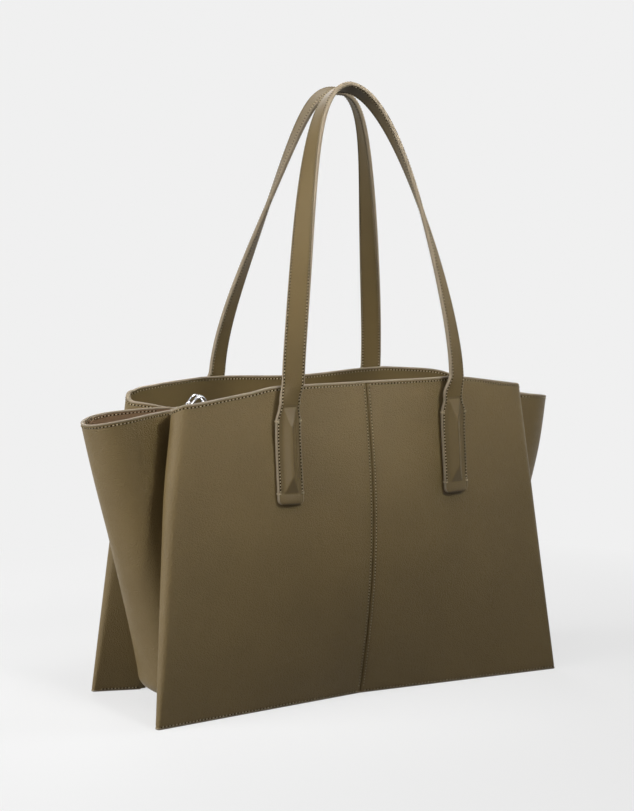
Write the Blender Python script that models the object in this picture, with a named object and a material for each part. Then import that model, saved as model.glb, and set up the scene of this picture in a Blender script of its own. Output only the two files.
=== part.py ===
"""Leather tote bag with two shoulder straps, winged side gussets and a zipped middle compartment.

Metres, +Z up. The origin is on the floor under the middle of the bag. The front faces -Y.
"""

import math

import bmesh
import bpy
from mathutils import Vector

# Driving dimensions: clearance and leather
GAP = 0.0003
PANEL_THICKNESS = 0.0020
WING_THICKNESS = 0.0016
FACING_THICKNESS = 0.0012
LINING_THICKNESS = 0.0008
SEAM_ALLOWANCE = 0.0045

# Driving dimensions: front and back walls, as half widths (x) and depths from the middle (y)
FOLD_HALF_WIDTH_BOTTOM = 0.1985
FOLD_HALF_WIDTH_TOP = 0.1730
FOLD_DEPTH_BOTTOM = 0.0668
FOLD_DEPTH_TOP = 0.0385
FOLD_RADIUS_BOTTOM = 0.0030
FOLD_RADIUS_TOP = 0.0125
FOLD_INNER_RADIUS = 0.0006
SEAM_DEPTH_BOTTOM = 0.0527
SEAM_DEPTH_TOP = 0.0610
BELLY = 0.0173
SEAM_FLARE_BOTTOM = math.radians(5.0)
SEAM_FLARE_TOP = math.radians(4.5)
PANEL_ANGLE_BOTTOM = math.radians(95.0)
PANEL_ANGLE_TOP = math.radians(78.0)
FLAP_ANGLE_BOTTOM = math.radians(75.0)
FLAP_ANGLE_TOP = math.radians(40.0)
FLAP_END_ANGLE_TOP = math.radians(65.0)

# Driving dimensions: rims
FRONT_RIM_HEIGHT = 0.2700
FRONT_RIM_FLAT_HALF_WIDTH = 0.0900
FRONT_FOLD_RIM_HEIGHT = 0.2592
BACK_RIM_HEIGHT = 0.2706
BACK_RIM_SAG = 0.0032
BACK_RIM_PEAK_HALF_WIDTH = 0.0950
BACK_FOLD_RIM_HEIGHT = 0.2610
BACK_RIM_DROP_POWER = 6.0
FLAP_RIM_HEIGHT = 0.2526
JUNCTION_HEIGHT = 0.2500

# Driving dimensions: the lines where flaps and wings meet
JUNCTION_HALF_WIDTH_BOTTOM = 0.1590
JUNCTION_HALF_WIDTH_TOP = 0.1480
JUNCTION_DEPTH_BOTTOM = 0.0520
JUNCTION_DEPTH_TOP = 0.0115

# Driving dimensions: wings
WING_TIP_HEIGHT = 0.2415
WING_TIP_HALF_WIDTH = 0.2300
WING_FOOT_HALF_WIDTH = 0.1790
WING_FOOT_RADIUS = 0.0140
WING_FOOT_HEIGHT = 0.0110
WING_ROUNDNESS_BOTTOM = 0.97
WING_ROUNDNESS_TOP = 0.68

# Driving dimensions: base and dividers
BASE_THICKNESS = 0.0018
BASE_LIFT = 0.0005
BOARD_THICKNESS = 0.0020
BOARD_HALF_WIDTH = 0.1500
DIVIDER_THICKNESS = 0.0012
DIVIDER_HEIGHT = 0.2467
FACING_HEIGHT = 0.0400
RIM_STEP = 0.0008

# Driving dimensions: zip
ZIP_HALF_LENGTH = 0.1445
TAPE_THICKNESS = 0.0006
TAPE_OVERLAP = 0.0016
TAPE_CORNER = 0.0045
TEETH_HALF_LENGTH = 0.1415
TOOTH_PITCH = 0.0060
TOOTH_LENGTH = 0.0022
TOOTH_HEIGHT = 0.0022
TEETH_SPINE = 0.0012
TEETH_SLOT = 0.0005
STOP_LENGTH = 0.0025
SLIDER_LENGTH = 0.0120
SLIDER_HALF_WIDTH = 0.0048
SLIDER_PLATE = 0.0010
SLIDER_X = -0.1350
CROWN_LENGTH = 0.0080
CROWN_HEIGHT = 0.0042
CROWN_WIDTH = 0.0022
CROWN_WALL = 0.0010
PULLER_WIRE = 0.0008
PULLER_LENGTH = 0.0150
PULLER_WIDTH = 0.0100
PULLER_RISE = 0.0068

# Driving dimensions: straps and tabs
STRAP_SPACING = 0.1600
STRAP_DEPTH = 0.0715
STRAP_WIDTH = 0.0185
STRAP_THICKNESS = 0.0035
STRAP_ROOT_SHARE = 0.06
STRAP_ROLL_SHARE = 0.25
HINGE_HEIGHT = 0.2555
TAB_X = 0.0805
TAB_WIDTH = 0.0222
TAB_BOTTOM = 0.1732
TAB_SHOULDER = 0.2412
TAB_RIDGE_BOTTOM = 0.1820
TAB_RIDGE_LOW = 0.1960
TAB_RIDGE_HIGH = 0.2355
TAB_RIDGE_TOP = 0.2523
TAB_RIDGE_HALF_WIDTH = 0.0066
TAB_RIDGE_HEIGHT = 0.0048
TAB_CORNER = 0.0015
CORE_BOTTOM_THICKNESS = 0.0010
CORE_INSET = 0.0010

# Route of each strap from its hinge to its highest point: (x, inward travel, height) of the inner
# control points, measured from the strap spacing, the strap depth and the floor
FRONT_ROUTE = {
    "rise": (0.0039, 0.0432),
    "lower": (0.0670, 0.0046, 0.3500),
    "upper": (0.0547, 0.0414, 0.4833),
    "reach": 0.0270,
    "crown": (0.0601, 0.5183),
    "lean": (0.0044, 0.0100),
    "twist": (-0.6303, 1.5336),
    "skew": 0.0540,
    "roll": 0.3175,
}
BACK_ROUTE = {
    "rise": (0.0024, 0.0600),
    "lower": (0.0644, 0.0182, 0.3695),
    "upper": (0.0345, 0.0525, 0.4599),
    "reach": 0.0389,
    "crown": (0.0599, 0.5174),
    "lean": (0.0057, 0.0129),
    "twist": (-0.5315, 1.2793),
    "skew": 0.1800,
    "roll": -0.3089,
}

# Mesh steps
PANEL_STEPS = 9
FOLD_STEPS = 7
FLAP_STEPS = 3
WALL_ROWS = 10
WING_LINE_STEPS = 2
WING_ARC_STEPS = 6
LINING_STEPS = (6, 5, 2)
LINING_ROWS = 5
STRAP_STEPS = 60
STRAP_SAMPLES = 200

OLIVE = (0.165, 0.123, 0.062)
OLIVE_SMOOTH = (0.120, 0.090, 0.043)
SUEDE = (0.095, 0.058, 0.032)
TAPE_BROWN = (0.075, 0.060, 0.035)
BOARD_GREY = (0.110, 0.105, 0.095)
SILVER = (0.780, 0.780, 0.770)


def lerp(a, b, t):
    return a + (b - a) * t


def smooth(t):
    t = min(max(t, 0.0), 1.0)
    return t * t * (3.0 - 2.0 * t)


def bezier(points, t):
    """Point of a Bezier curve of any degree, by de Casteljau's construction."""
    points = [Vector(point) for point in points]
    while len(points) > 1:
        points = [a.lerp(b, t) for a, b in zip(points, points[1:])]
    return points[0]


def make_material(name, color, roughness, metallic=0.0):
    material = bpy.data.materials.new(name)
    material.use_nodes = True
    shader = material.node_tree.nodes["Principled BSDF"]
    shader.inputs["Base Color"].default_value = (*color, 1.0)
    shader.inputs["Roughness"].default_value = roughness
    shader.inputs["Metallic"].default_value = metallic
    material.diffuse_color = (*color, 1.0)
    return material


def add_object(name, mesh, collection, material):
    obj = bpy.data.objects.new(name, mesh)
    obj.data.materials.append(material)
    collection.objects.link(obj)
    return obj


def mesh_from(name, points, faces, smooth_angle=math.radians(35.0)):
    """A mesh whose faces all point outwards, shaded smooth apart from its sharp edges."""
    mesh = bpy.data.meshes.new(name)
    mesh.from_pydata([tuple(point) for point in points], [], faces)
    work = bmesh.new()
    work.from_mesh(mesh)
    bmesh.ops.recalc_face_normals(work, faces=work.faces)
    work.to_mesh(mesh)
    work.free()
    mesh.shade_smooth()
    mesh.set_sharp_from_angle(angle=smooth_angle)
    return mesh


def split_quad(corners, points, outward, is_crowned):
    """Two triangles whose shared edge stands proud along outward, or lies in along it."""
    a, b, c, d = corners
    proud = (points[a] + points[c] - points[b] - points[d]).dot(outward) > 0.0
    if proud == is_crowned:
        return [(a, b, c), (a, c, d)]
    return [(a, b, d), (b, c, d)]


def shell(name, outer, inner, collection, material, is_crowned=True):
    """Closed sheet between two grids of points that have the same rows and columns.

    A crowned sheet's triangles stand outwards and another's lie inwards, so one fits inside the other.
    """
    rows = len(outer)
    columns = len(outer[0])
    count = rows * columns
    points = [point for row in outer for point in row] + [point for row in inner for point in row]
    faces = []
    for row in range(rows - 1):
        for column in range(columns - 1):
            a = row * columns + column
            quad = (a, a + 1, a + columns + 1, a + columns)
            outward = points[a] - points[a + count]
            faces += split_quad(quad, points, outward, is_crowned)
            faces += split_quad([index + count for index in quad], points, outward, is_crowned)
    border = [column for column in range(columns)]
    border += [row * columns + columns - 1 for row in range(1, rows)]
    border += [(rows - 1) * columns + column for column in range(columns - 2, -1, -1)]
    border += [row * columns for row in range(rows - 2, 0, -1)]
    for a, b in zip(border, border[1:] + border[:1]):
        faces.append((b, a, a + count, b + count))
    return add_object(name, mesh_from(name, points, faces), collection, material)


def loft(name, sections, collection, material):
    """Closed solid through a list of closed sections that have the same number of points.

    Opposite sides are cut along matching diagonals, so twisted strips can lie face to face.
    """
    size = len(sections[0])
    points = [point for section in sections for point in section]
    faces = [tuple(range(size)), tuple(range(len(points) - size, len(points)))]
    for level in range(len(sections) - 1):
        for side in range(size):
            a = level * size + side
            b = level * size + (side + 1) % size
            if side < size // 2:
                faces += [(a, b, b + size), (a, b + size, a + size)]
            else:
                faces += [(a, b, a + size), (b, b + size, a + size)]
    return add_object(name, mesh_from(name, points, faces), collection, material)


def prism(name, outline, low, high, collection, material):
    """Closed solid with a flat outline in plan, from one height to another."""
    sections = [[Vector((x, y, z)) for x, y in outline] for z in (low, high)]
    return loft(name, sections, collection, material)


# Walls. A wall point has a column t: 0 at the centre seam, 1 where the side fold starts, 2 where the
# fold ends, 3 at the junction with the wing and 4 at the end of the seam allowance.


def seam_depth(v):
    return lerp(SEAM_DEPTH_BOTTOM, SEAM_DEPTH_TOP, v) + BELLY * math.sin(math.pi * v)


def fold_arc(v, depth):
    """Centre, radius and end angles of the side fold at level v, for the face at this depth in the wall."""
    outer_radius = lerp(FOLD_RADIUS_BOTTOM, FOLD_RADIUS_TOP, v)
    half_width = lerp(FOLD_HALF_WIDTH_BOTTOM, FOLD_HALF_WIDTH_TOP, v)
    centre = Vector((half_width - outer_radius, lerp(FOLD_DEPTH_BOTTOM, FOLD_DEPTH_TOP, v)))
    panel_angle = lerp(PANEL_ANGLE_BOTTOM, PANEL_ANGLE_TOP, v)
    flap_angle = lerp(FLAP_ANGLE_BOTTOM, FLAP_ANGLE_TOP, v)
    to_panel = Vector((-math.sin(panel_angle), math.cos(panel_angle)))
    to_flap = Vector((-math.sin(flap_angle), -math.cos(flap_angle)))
    shift = max(0.0, depth + FOLD_INNER_RADIUS - outer_radius)
    centre += (to_panel + to_flap).normalized() * shift / math.sin(to_panel.angle(to_flap) / 2)
    radius = max(outer_radius - depth, FOLD_INNER_RADIUS)
    return centre, radius, panel_angle, flap_angle


def wall_plan(t, v, depth):
    """Place in plan (x, distance from the middle) of column t at level v, this far into the wall."""
    centre, radius, panel_angle, flap_angle = fold_arc(v, depth)
    if t <= 1.0:
        flare = SEAM_FLARE_BOTTOM * (1.0 - v) ** 3 + SEAM_FLARE_TOP * max(v, 0.0) ** 3
        start = Vector((0.0, seam_depth(v) - depth / math.cos(flare)))
        end = centre + radius * Vector((math.cos(panel_angle), math.sin(panel_angle)))
        reach = (end - start).length
        leave = start + 0.40 * reach * Vector((math.cos(flare), math.sin(flare)))
        arrive = end - 0.28 * reach * Vector((math.sin(panel_angle), -math.cos(panel_angle)))
        return bezier((start, leave, arrive, end), t)
    if t <= 2.0:
        angle = lerp(panel_angle, -flap_angle, t - 1.0)
        return centre + radius * Vector((math.cos(angle), math.sin(angle)))
    end_angle = lerp(FLAP_ANGLE_BOTTOM, FLAP_END_ANGLE_TOP, v)
    corner = math.tan((math.pi / 2 - end_angle) / 2)
    junction = Vector((
        lerp(JUNCTION_HALF_WIDTH_BOTTOM, JUNCTION_HALF_WIDTH_TOP, v) - depth * corner,
        lerp(JUNCTION_DEPTH_BOTTOM, JUNCTION_DEPTH_TOP, v) + depth,
    ))
    if t > 3.0:
        return junction - Vector(((t - 3.0) * SEAM_ALLOWANCE, 0.0))
    start = centre + radius * Vector((math.cos(flap_angle), -math.sin(flap_angle)))
    reach = (junction - start).length / 3
    leave = start - reach * Vector((math.sin(flap_angle), math.cos(flap_angle)))
    arrive = junction + reach * Vector((math.sin(end_angle), math.cos(end_angle)))
    return bezier((start, leave, arrive, junction), t - 2.0)


def rim_height(t, is_back):
    """Height of the wall's top edge at column t: the front slopes to its folds, the back drops off late."""
    fold_height = BACK_FOLD_RIM_HEIGHT if is_back else FRONT_FOLD_RIM_HEIGHT
    if t >= 3.0:
        return JUNCTION_HEIGHT
    if t >= 2.0:
        return lerp(FLAP_RIM_HEIGHT, JUNCTION_HEIGHT, t - 2.0)
    if t >= 1.0:
        return lerp(fold_height, FLAP_RIM_HEIGHT, t - 1.0)
    x = wall_plan(t, 1.0, 0.0).x
    end = wall_plan(1.0, 1.0, 0.0).x
    if not is_back:
        fall = max(0.0, x - FRONT_RIM_FLAT_HALF_WIDTH) / (end - FRONT_RIM_FLAT_HALF_WIDTH)
        return lerp(FRONT_RIM_HEIGHT, fold_height, fall)
    if x < BACK_RIM_PEAK_HALF_WIDTH:
        return BACK_RIM_HEIGHT - BACK_RIM_SAG * (1.0 - smooth(x / BACK_RIM_PEAK_HALF_WIDTH))
    reach = (x - BACK_RIM_PEAK_HALF_WIDTH) / (end - BACK_RIM_PEAK_HALF_WIDTH)
    return lerp(BACK_RIM_HEIGHT, fold_height, (reach + reach ** BACK_RIM_DROP_POWER) / 2)


def wall_point(t, z, depth, side_x, is_back):
    plan = wall_plan(t, z / rim_height(t, is_back), depth)
    return Vector((side_x * plan.x, plan.y if is_back else -plan.y, z))


def wall_columns(steps=(PANEL_STEPS, FOLD_STEPS, FLAP_STEPS)):
    columns = []
    for start, count in enumerate(steps):
        columns += [start + step / count for step in range(count)]
    return columns + [3.0, 4.0]


def wall_depth_at(x, z, is_back):
    """Distance of the wall's outer face from the middle, at this x and height."""
    low, high = 0.0, 1.0
    for _ in range(30):
        middle = (low + high) / 2
        if wall_plan(middle, z / rim_height(middle, is_back), 0.0).x < x:
            low = middle
        else:
            high = middle
    return wall_plan(low, z / rim_height(low, is_back), 0.0).y


def make_wall_half(name, side_x, is_back, collection, material):
    columns = wall_columns()

    def grid(depth):
        rows = []
        for row in range(WALL_ROWS + 1):
            points = []
            for t in columns:
                point = wall_point(t, rim_height(t, is_back) * row / WALL_ROWS, depth, side_x, is_back)
                if t == 0.0:
                    point.x = side_x * GAP / 2
                points.append(point)
            rows.append(points)
        return rows

    return shell(name, grid(0.0), grid(PANEL_THICKNESS), collection, material)


def wall_band(is_back, depth, low, high, rows, steps):
    """Grid of a lining or a facing that runs round the inside of a wall, from one junction to the other."""
    half = wall_columns(steps)
    columns = [(-1, t) for t in reversed(half[1:])] + [(1, t) for t in half]
    grid = []
    for row in range(rows + 1):
        points = []
        for side_x, t in columns:
            rim = rim_height(t, is_back)
            z = lerp(low(rim), high(rim), row / rows)
            points.append(wall_point(t, z, depth, side_x, is_back))
        grid.append(points)
    return grid


def make_wall_layer(name, is_back, depth, thickness, low, high, rows, steps, collection, material):
    outer = wall_band(is_back, depth, low, high, rows, steps)
    inner = wall_band(is_back, depth + thickness, low, high, rows, steps)
    return shell(name, outer, inner, collection, material, is_crowned=False)


# Wings


def junction_at(z):
    t = z / JUNCTION_HEIGHT
    return Vector((
        lerp(JUNCTION_HALF_WIDTH_BOTTOM, JUNCTION_HALF_WIDTH_TOP, t),
        lerp(JUNCTION_DEPTH_BOTTOM, JUNCTION_DEPTH_TOP, t),
    ))


def wing_tip(z):
    foot_top = WING_FOOT_HEIGHT + WING_FOOT_RADIUS
    lean = (WING_TIP_HALF_WIDTH - WING_FOOT_HALF_WIDTH) / (WING_TIP_HEIGHT - foot_top)
    sunk = min(max(foot_top - z, 0.0), WING_FOOT_RADIUS)
    rounding = WING_FOOT_RADIUS - math.sqrt(WING_FOOT_RADIUS ** 2 - sunk ** 2)
    return WING_FOOT_HALF_WIDTH + lean * max(z - foot_top, 0.0) - rounding


def wing_plan(z, depth):
    """Half section of a wing at height z: seam allowance, junction, straight side and round end."""
    junction = junction_at(z)
    tip = wing_tip(z)
    swell = tip - junction.x
    full = (junction.y ** 2 + swell ** 2) / (2 * swell)
    radius = full * lerp(WING_ROUNDNESS_BOTTOM, WING_ROUNDNESS_TOP, z / JUNCTION_HEIGHT)
    centre = Vector((tip - radius, 0.0))
    away = junction - centre
    angle = math.atan2(away.y, away.x) - math.acos(radius / away.length)
    across = Vector((math.cos(angle), math.sin(angle)))
    corner = across + Vector((0.0, 1.0))
    start = junction - depth * corner / (1.0 + across.y)
    touch = centre + (radius - depth) * across
    points = [start - Vector((SEAM_ALLOWANCE, 0.0))]
    points += [start.lerp(touch, step / WING_LINE_STEPS) for step in range(WING_LINE_STEPS)]
    for step in range(WING_ARC_STEPS + 1):
        turn = angle * (1.0 - step / WING_ARC_STEPS)
        points.append(centre + (radius - depth) * Vector((math.cos(turn), math.sin(turn))))
    return points


def wing_share(index):
    """How far this column of a wing's half section lies from its junction (0) to its tip (1)."""
    plan = wing_plan(WING_TIP_HEIGHT, 0.0)
    share = (plan[index].x - plan[1].x) / (plan[-1].x - plan[1].x)
    return min(max(share, 0.0), 1.0)


def wing_grid(side_x, depth, low, drop, rows, first):
    """Grid of a wing's face, round from its front junction over its tip to its back junction."""
    half = range(first, len(wing_plan(WING_TIP_HEIGHT, 0.0)))
    columns = [(-1, index) for index in half] + [(1, index) for index in reversed(half[:-1])]
    grid = []
    for row in range(rows + 1):
        points = []
        for side_y, index in columns:
            rim = lerp(JUNCTION_HEIGHT, WING_TIP_HEIGHT, wing_share(index)) - drop
            z = lerp(low, rim, (row / rows) ** 1.5)
            plan = wing_plan(z, depth)[index]
            points.append(Vector((side_x * plan.x, side_y * plan.y, z)))
        grid.append(points)
    return grid


def make_wing(name, side_x, collection, material):
    outer = wing_grid(side_x, GAP, WING_FOOT_HEIGHT, 0.0, WALL_ROWS, 0)
    inner = wing_grid(side_x, GAP + WING_THICKNESS, WING_FOOT_HEIGHT, 0.0, WALL_ROWS, 0)
    return shell(name, outer, inner, collection, material)


def make_wing_lining(name, side_x, collection, material):
    depth = 2 * GAP + WING_THICKNESS
    low = WING_FOOT_HEIGHT + WING_FOOT_RADIUS / 2
    outer = wing_grid(side_x, depth, low, RIM_STEP, LINING_ROWS, 1)
    inner = wing_grid(side_x, depth + LINING_THICKNESS, low, RIM_STEP, LINING_ROWS, 1)
    return shell(name, outer, inner, collection, material, is_crowned=False)


# Base


def base_top():
    return WING_FOOT_HEIGHT - GAP


def board_top():
    return base_top() + GAP + BOARD_THICKNESS


def base_outline(z):
    """The base's edge at height z: inside the walls, into the side folds and under the wings."""
    depth = PANEL_THICKNESS + 2 * GAP
    v = z / FRONT_RIM_HEIGHT
    quarter = [wall_plan(t, v, depth) for t in (0.0, 0.5, 1.0, 1.33, 1.67, 2.0, 2.5, 3.0)]
    inside = wall_plan(4.0, v, depth) - Vector((GAP, 0.0))
    wing = wing_plan(WING_FOOT_HEIGHT, GAP)
    quarter.append(inside)
    quarter.append(Vector((inside.x, wing[1].y)))
    quarter += wing[1:]
    right = [(point.x, point.y) for point in quarter]
    right += [(x, -y) for x, y in reversed(right[:-1])]
    return right + [(-x, y) for x, y in reversed(right[1:-1])]


def flange_outline(depth, v, half_width):
    """Six corners just inside the walls, between the two folds."""
    reach = wall_plan(1.0, v, depth)
    middle = wall_plan(0.0, v, depth).y
    end = lerp(middle, reach.y, half_width / reach.x)
    return [(-half_width, -end), (0.0, -middle), (half_width, -end),
            (half_width, end), (0.0, middle), (-half_width, end)]


def make_base(collection, cutters, material):
    sections = [[Vector((x, y, z)) for x, y in base_outline(z)] for z in (BASE_LIFT, base_top())]
    base = loft("base_panel", sections, collection, material)
    outline = flange_outline(PANEL_THICKNESS + GAP + BASE_THICKNESS, 0.0, BOARD_HALF_WIDTH)
    hollow = prism("base_hollow", outline, -BASE_THICKNESS, base_top() - BASE_THICKNESS, cutters, material)
    hollow.display_type = "WIRE"
    hollow.hide_render = True
    cut = base.modifiers.new("Hollow under the base", "BOOLEAN")
    cut.operation = "DIFFERENCE"
    cut.object = hollow
    return base


def make_board(collection, material):
    depth = PANEL_THICKNESS + 2 * GAP
    outline = flange_outline(depth, base_top() / FRONT_RIM_HEIGHT, BOARD_HALF_WIDTH)
    return prism("base_board", outline, base_top() + GAP, board_top(), collection, material)


# Dividers and zip


def divider_foot():
    """Height and depth of a divider's lower edge, clear of the linings at the centre seam."""
    z = board_top() + GAP
    depth = PANEL_THICKNESS + LINING_THICKNESS + 3 * GAP + DIVIDER_THICKNESS / 2
    return z, wall_plan(0.0, z / FRONT_RIM_HEIGHT, depth).y


def make_divider(name, side_y, collection, material):
    foot_height, foot_depth = divider_foot()
    corners = []
    for z, depth in ((foot_height, foot_depth), (DIVIDER_HEIGHT, junction_at(DIVIDER_HEIGHT).y)):
        half = junction_at(z).x - SEAM_ALLOWANCE - 2 * GAP
        corners.append([(x, side_y * (depth + step * DIVIDER_THICKNESS / 2), z)
                        for x, step in ((-half, -1), (half, -1), (half, 1), (-half, 1))])
    return loft(name, corners, collection, material)


def tape_base():
    return DIVIDER_HEIGHT + GAP


def teeth_edge():
    return TEETH_SLOT + TOOTH_LENGTH + TEETH_SPINE


def make_zip_tape(name, side_y, collection, material):
    outer = junction_at(DIVIDER_HEIGHT).y + TAPE_OVERLAP
    edges = (side_y * (teeth_edge() + GAP), side_y * outer)
    shoulder = side_y * (outer - TAPE_CORNER)
    outline = [(-ZIP_HALF_LENGTH, edges[0]), (ZIP_HALF_LENGTH, edges[0]), (ZIP_HALF_LENGTH, shoulder),
               (ZIP_HALF_LENGTH - TAPE_CORNER, edges[1]), (TAPE_CORNER - ZIP_HALF_LENGTH, edges[1]),
               (-ZIP_HALF_LENGTH, shoulder)]
    return prism(name, outline, tape_base(), tape_base() + TAPE_THICKNESS, collection, material)


def teeth_levels():
    middle = tape_base() + TAPE_THICKNESS / 2
    return middle - TOOTH_HEIGHT / 2, middle + TOOTH_HEIGHT / 2


def make_zip_teeth(name, side_y, collection, material):
    """One row of teeth on its spine, with a narrow slot to the other row."""
    count = round(2 * TEETH_HALF_LENGTH / TOOTH_PITCH)
    pitch = 2 * TEETH_HALF_LENGTH / count
    root = TEETH_SLOT + TOOTH_LENGTH
    outline = [(TEETH_HALF_LENGTH, root), (TEETH_HALF_LENGTH, teeth_edge()),
               (-TEETH_HALF_LENGTH, teeth_edge()), (-TEETH_HALF_LENGTH, root)]
    for index in range(count):
        x = -TEETH_HALF_LENGTH + (index + 0.5) * pitch
        outline += [(x - 0.34 * pitch, root), (x - 0.26 * pitch, TEETH_SLOT),
                    (x + 0.26 * pitch, TEETH_SLOT), (x + 0.34 * pitch, root)]
    outline = [(x, side_y * y) for x, y in outline]
    return prism(name, outline, *teeth_levels(), collection, material)


def make_zip_stop(name, side_x, side_y, collection, material):
    low, high = teeth_levels()
    ends = (side_x * (TEETH_HALF_LENGTH + GAP), side_x * (TEETH_HALF_LENGTH + GAP + STOP_LENGTH))
    outline = [(ends[0], side_y * TEETH_SLOT), (ends[1], side_y * TEETH_SLOT),
               (ends[1], side_y * teeth_edge()), (ends[0], side_y * teeth_edge())]
    return prism(name, outline, low, high, collection, material)


def make_slider(collection, material):
    """Two plates with turned edges that hold the teeth, joined by a thin web in the slot between them."""
    low, high = teeth_levels()
    outside = teeth_edge() + GAP
    web = TEETH_SLOT - GAP
    top = high + GAP + SLIDER_PLATE
    bottom = low - GAP - SLIDER_PLATE
    upper_lip = tape_base() + TAPE_THICKNESS + GAP
    lower_lip = tape_base() - GAP
    half = [(SLIDER_HALF_WIDTH, top), (SLIDER_HALF_WIDTH, upper_lip), (outside + GAP, upper_lip),
            (outside + GAP, high + GAP), (web, high + GAP), (web, low - GAP), (outside + GAP, low - GAP),
            (outside + GAP, lower_lip), (SLIDER_HALF_WIDTH, lower_lip), (SLIDER_HALF_WIDTH, bottom)]
    outline = half + [(-y, z) for y, z in reversed(half)]
    ends = (SLIDER_X - SLIDER_LENGTH / 2, SLIDER_X + SLIDER_LENGTH / 2)
    sections = [[Vector((x, y, z)) for y, z in outline] for x in ends]
    return loft("zip_slider", sections, collection, material)


def slider_top():
    return teeth_levels()[1] + GAP + SLIDER_PLATE


def puller_pivot():
    """The puller turns on its own cross wire, which lies in the crown's eye."""
    z = slider_top() + GAP + (CROWN_HEIGHT - CROWN_WALL) / 2
    return Vector((SLIDER_X, 0.0, z))


def make_crown(collection, material):
    """Arch on the slider that the puller's cross wire passes through."""
    base = slider_top() + GAP
    length = CROWN_LENGTH / 2
    inner = length - CROWN_WALL
    roof = CROWN_HEIGHT - CROWN_WALL
    outline = [(-length, 0.0), (-length, 0.6 * CROWN_HEIGHT), (-0.6 * length, CROWN_HEIGHT),
               (0.6 * length, CROWN_HEIGHT), (length, 0.6 * CROWN_HEIGHT), (length, 0.0),
               (inner, 0.0), (inner, 0.55 * roof), (0.55 * inner, roof),
               (-0.55 * inner, roof), (-inner, 0.55 * roof), (-inner, 0.0)]
    sections = [[Vector((SLIDER_X + x, y, base + z)) for x, z in outline]
                for y in (-CROWN_WIDTH / 2, CROWN_WIDTH / 2)]
    return loft("zip_slider_crown", sections, collection, material)


def make_puller(collection, material):
    """Bowed wire loop: its cross wire lies in the crown, and its rails arch up to leave room for a finger."""
    curve = bpy.data.curves.new("zip_puller", "CURVE")
    curve.dimensions = "3D"
    curve.bevel_depth = PULLER_WIRE
    curve.bevel_resolution = 1
    half = PULLER_WIDTH / 2
    rail = [(0.0, 0.75), (0.1, 0.94), (0.25, 1.0), (0.4, 1.0), (0.55, 1.0), (0.7, 1.0), (0.85, 0.9), (0.96, 0.6)]
    loop = [(share, -side) for share, side in rail] + [(1.0, 0.0)]
    loop += [(share, side) for share, side in reversed(rail)]
    spline = curve.splines.new("POLY")
    spline.points.add(len(loop) - 1)
    for point, (share, side) in zip(spline.points, loop):
        point.co = (PULLER_LENGTH * share, half * side, PULLER_RISE * math.sin(math.pi * share), 1.0)
    spline.use_cyclic_u = True
    puller = bpy.data.objects.new("zip_puller", curve)
    puller.data.materials.append(material)
    puller.location = puller_pivot()
    collection.objects.link(puller)
    return puller


# Straps and tabs


def strap_leg(route, side_x, side_y):
    """Control points of one leg, from its hinge to the strap's highest point."""
    base = STRAP_SPACING / 2
    rise_out, rise_up = route["rise"]
    crown_in, crown_height = route["crown"]
    places = [(base, 0.0, HINGE_HEIGHT + GAP), (base + rise_out, 0.0, HINGE_HEIGHT + rise_up),
              route["lower"], route["upper"], (route["reach"], crown_in, crown_height),
              (0.0, crown_in, crown_height)]
    return [Vector((side_x * x, side_y * (STRAP_DEPTH - inward), z)) for x, inward, z in places]


def strap_sections(route, side_y, low, high):
    """Sections of one strap between two distances from its middle surface, left hinge to right hinge."""
    crown_height = route["crown"][1]
    twist_from, twist_to = route["twist"]
    sections = []
    for side_x in (-1, 1):
        leg = strap_leg(route, side_x, side_y)
        samples = [bezier(leg, step / STRAP_SAMPLES) for step in range(STRAP_SAMPLES + 1)]
        lengths = [0.0]
        for a, b in zip(samples, samples[1:]):
            lengths.append(lengths[-1] + (b - a).length)
        half = []
        for step in range(STRAP_STEPS // 2 + 1):
            share = step / (STRAP_STEPS // 2)
            target = share * lengths[-1]
            index = next(i for i in range(1, STRAP_SAMPLES + 1) if lengths[i] >= target - 1e-9)
            part = (target - lengths[index - 1]) / (lengths[index] - lengths[index - 1])
            along = (index - 1 + part) / STRAP_SAMPLES
            centre = bezier(leg, along)
            ahead = bezier(leg, min(along + 0.5 / STRAP_SAMPLES, 1.0))
            behind = bezier(leg, max(along - 0.5 / STRAP_SAMPLES, 0.0))
            tangent = (ahead - behind).normalized()
            if step == 0:
                tangent = Vector((0.0, 0.0, 1.0))
            turn = math.pi / 2 + side_x * side_y * route["skew"]
            turn *= smooth((share - twist_from) / (twist_to - twist_from))
            turn *= smooth(share / STRAP_ROOT_SHARE)
            across = Vector((math.cos(turn), -side_x * side_y * math.sin(turn), 0.0))
            across = (across - across.dot(tangent) * tangent).normalized()
            roll = side_x * route["roll"] * smooth((share - STRAP_ROLL_SHARE) / (1.0 - STRAP_ROLL_SHARE))
            across = across * math.cos(roll) + tangent.cross(across) * math.sin(roll)
            outward = -side_y * across.cross(tangent)
            climb = (centre.z - HINGE_HEIGHT) / (crown_height - HINGE_HEIGHT)
            centre.x += lerp(*route["lean"], climb) * smooth(share / STRAP_ROOT_SHARE)
            half_width = across * STRAP_WIDTH / 2
            half.append([centre - half_width + outward * low, centre + half_width + outward * low,
                         centre + half_width + outward * high, centre - half_width + outward * high])
        if side_x < 0:
            sections += half
        else:
            half.reverse()
            sections += [[section[1], section[0], section[3], section[2]] for section in half[1:]]
    return sections


def make_strap(prefix, route, side_y, collection, outer_material, lining_material):
    face = STRAP_THICKNESS / 2
    loft(prefix + "_outer", strap_sections(route, side_y, GAP / 2, face), collection, outer_material)
    loft(prefix + "_lining", strap_sections(route, side_y, -face, -GAP / 2), collection, lining_material)


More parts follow.
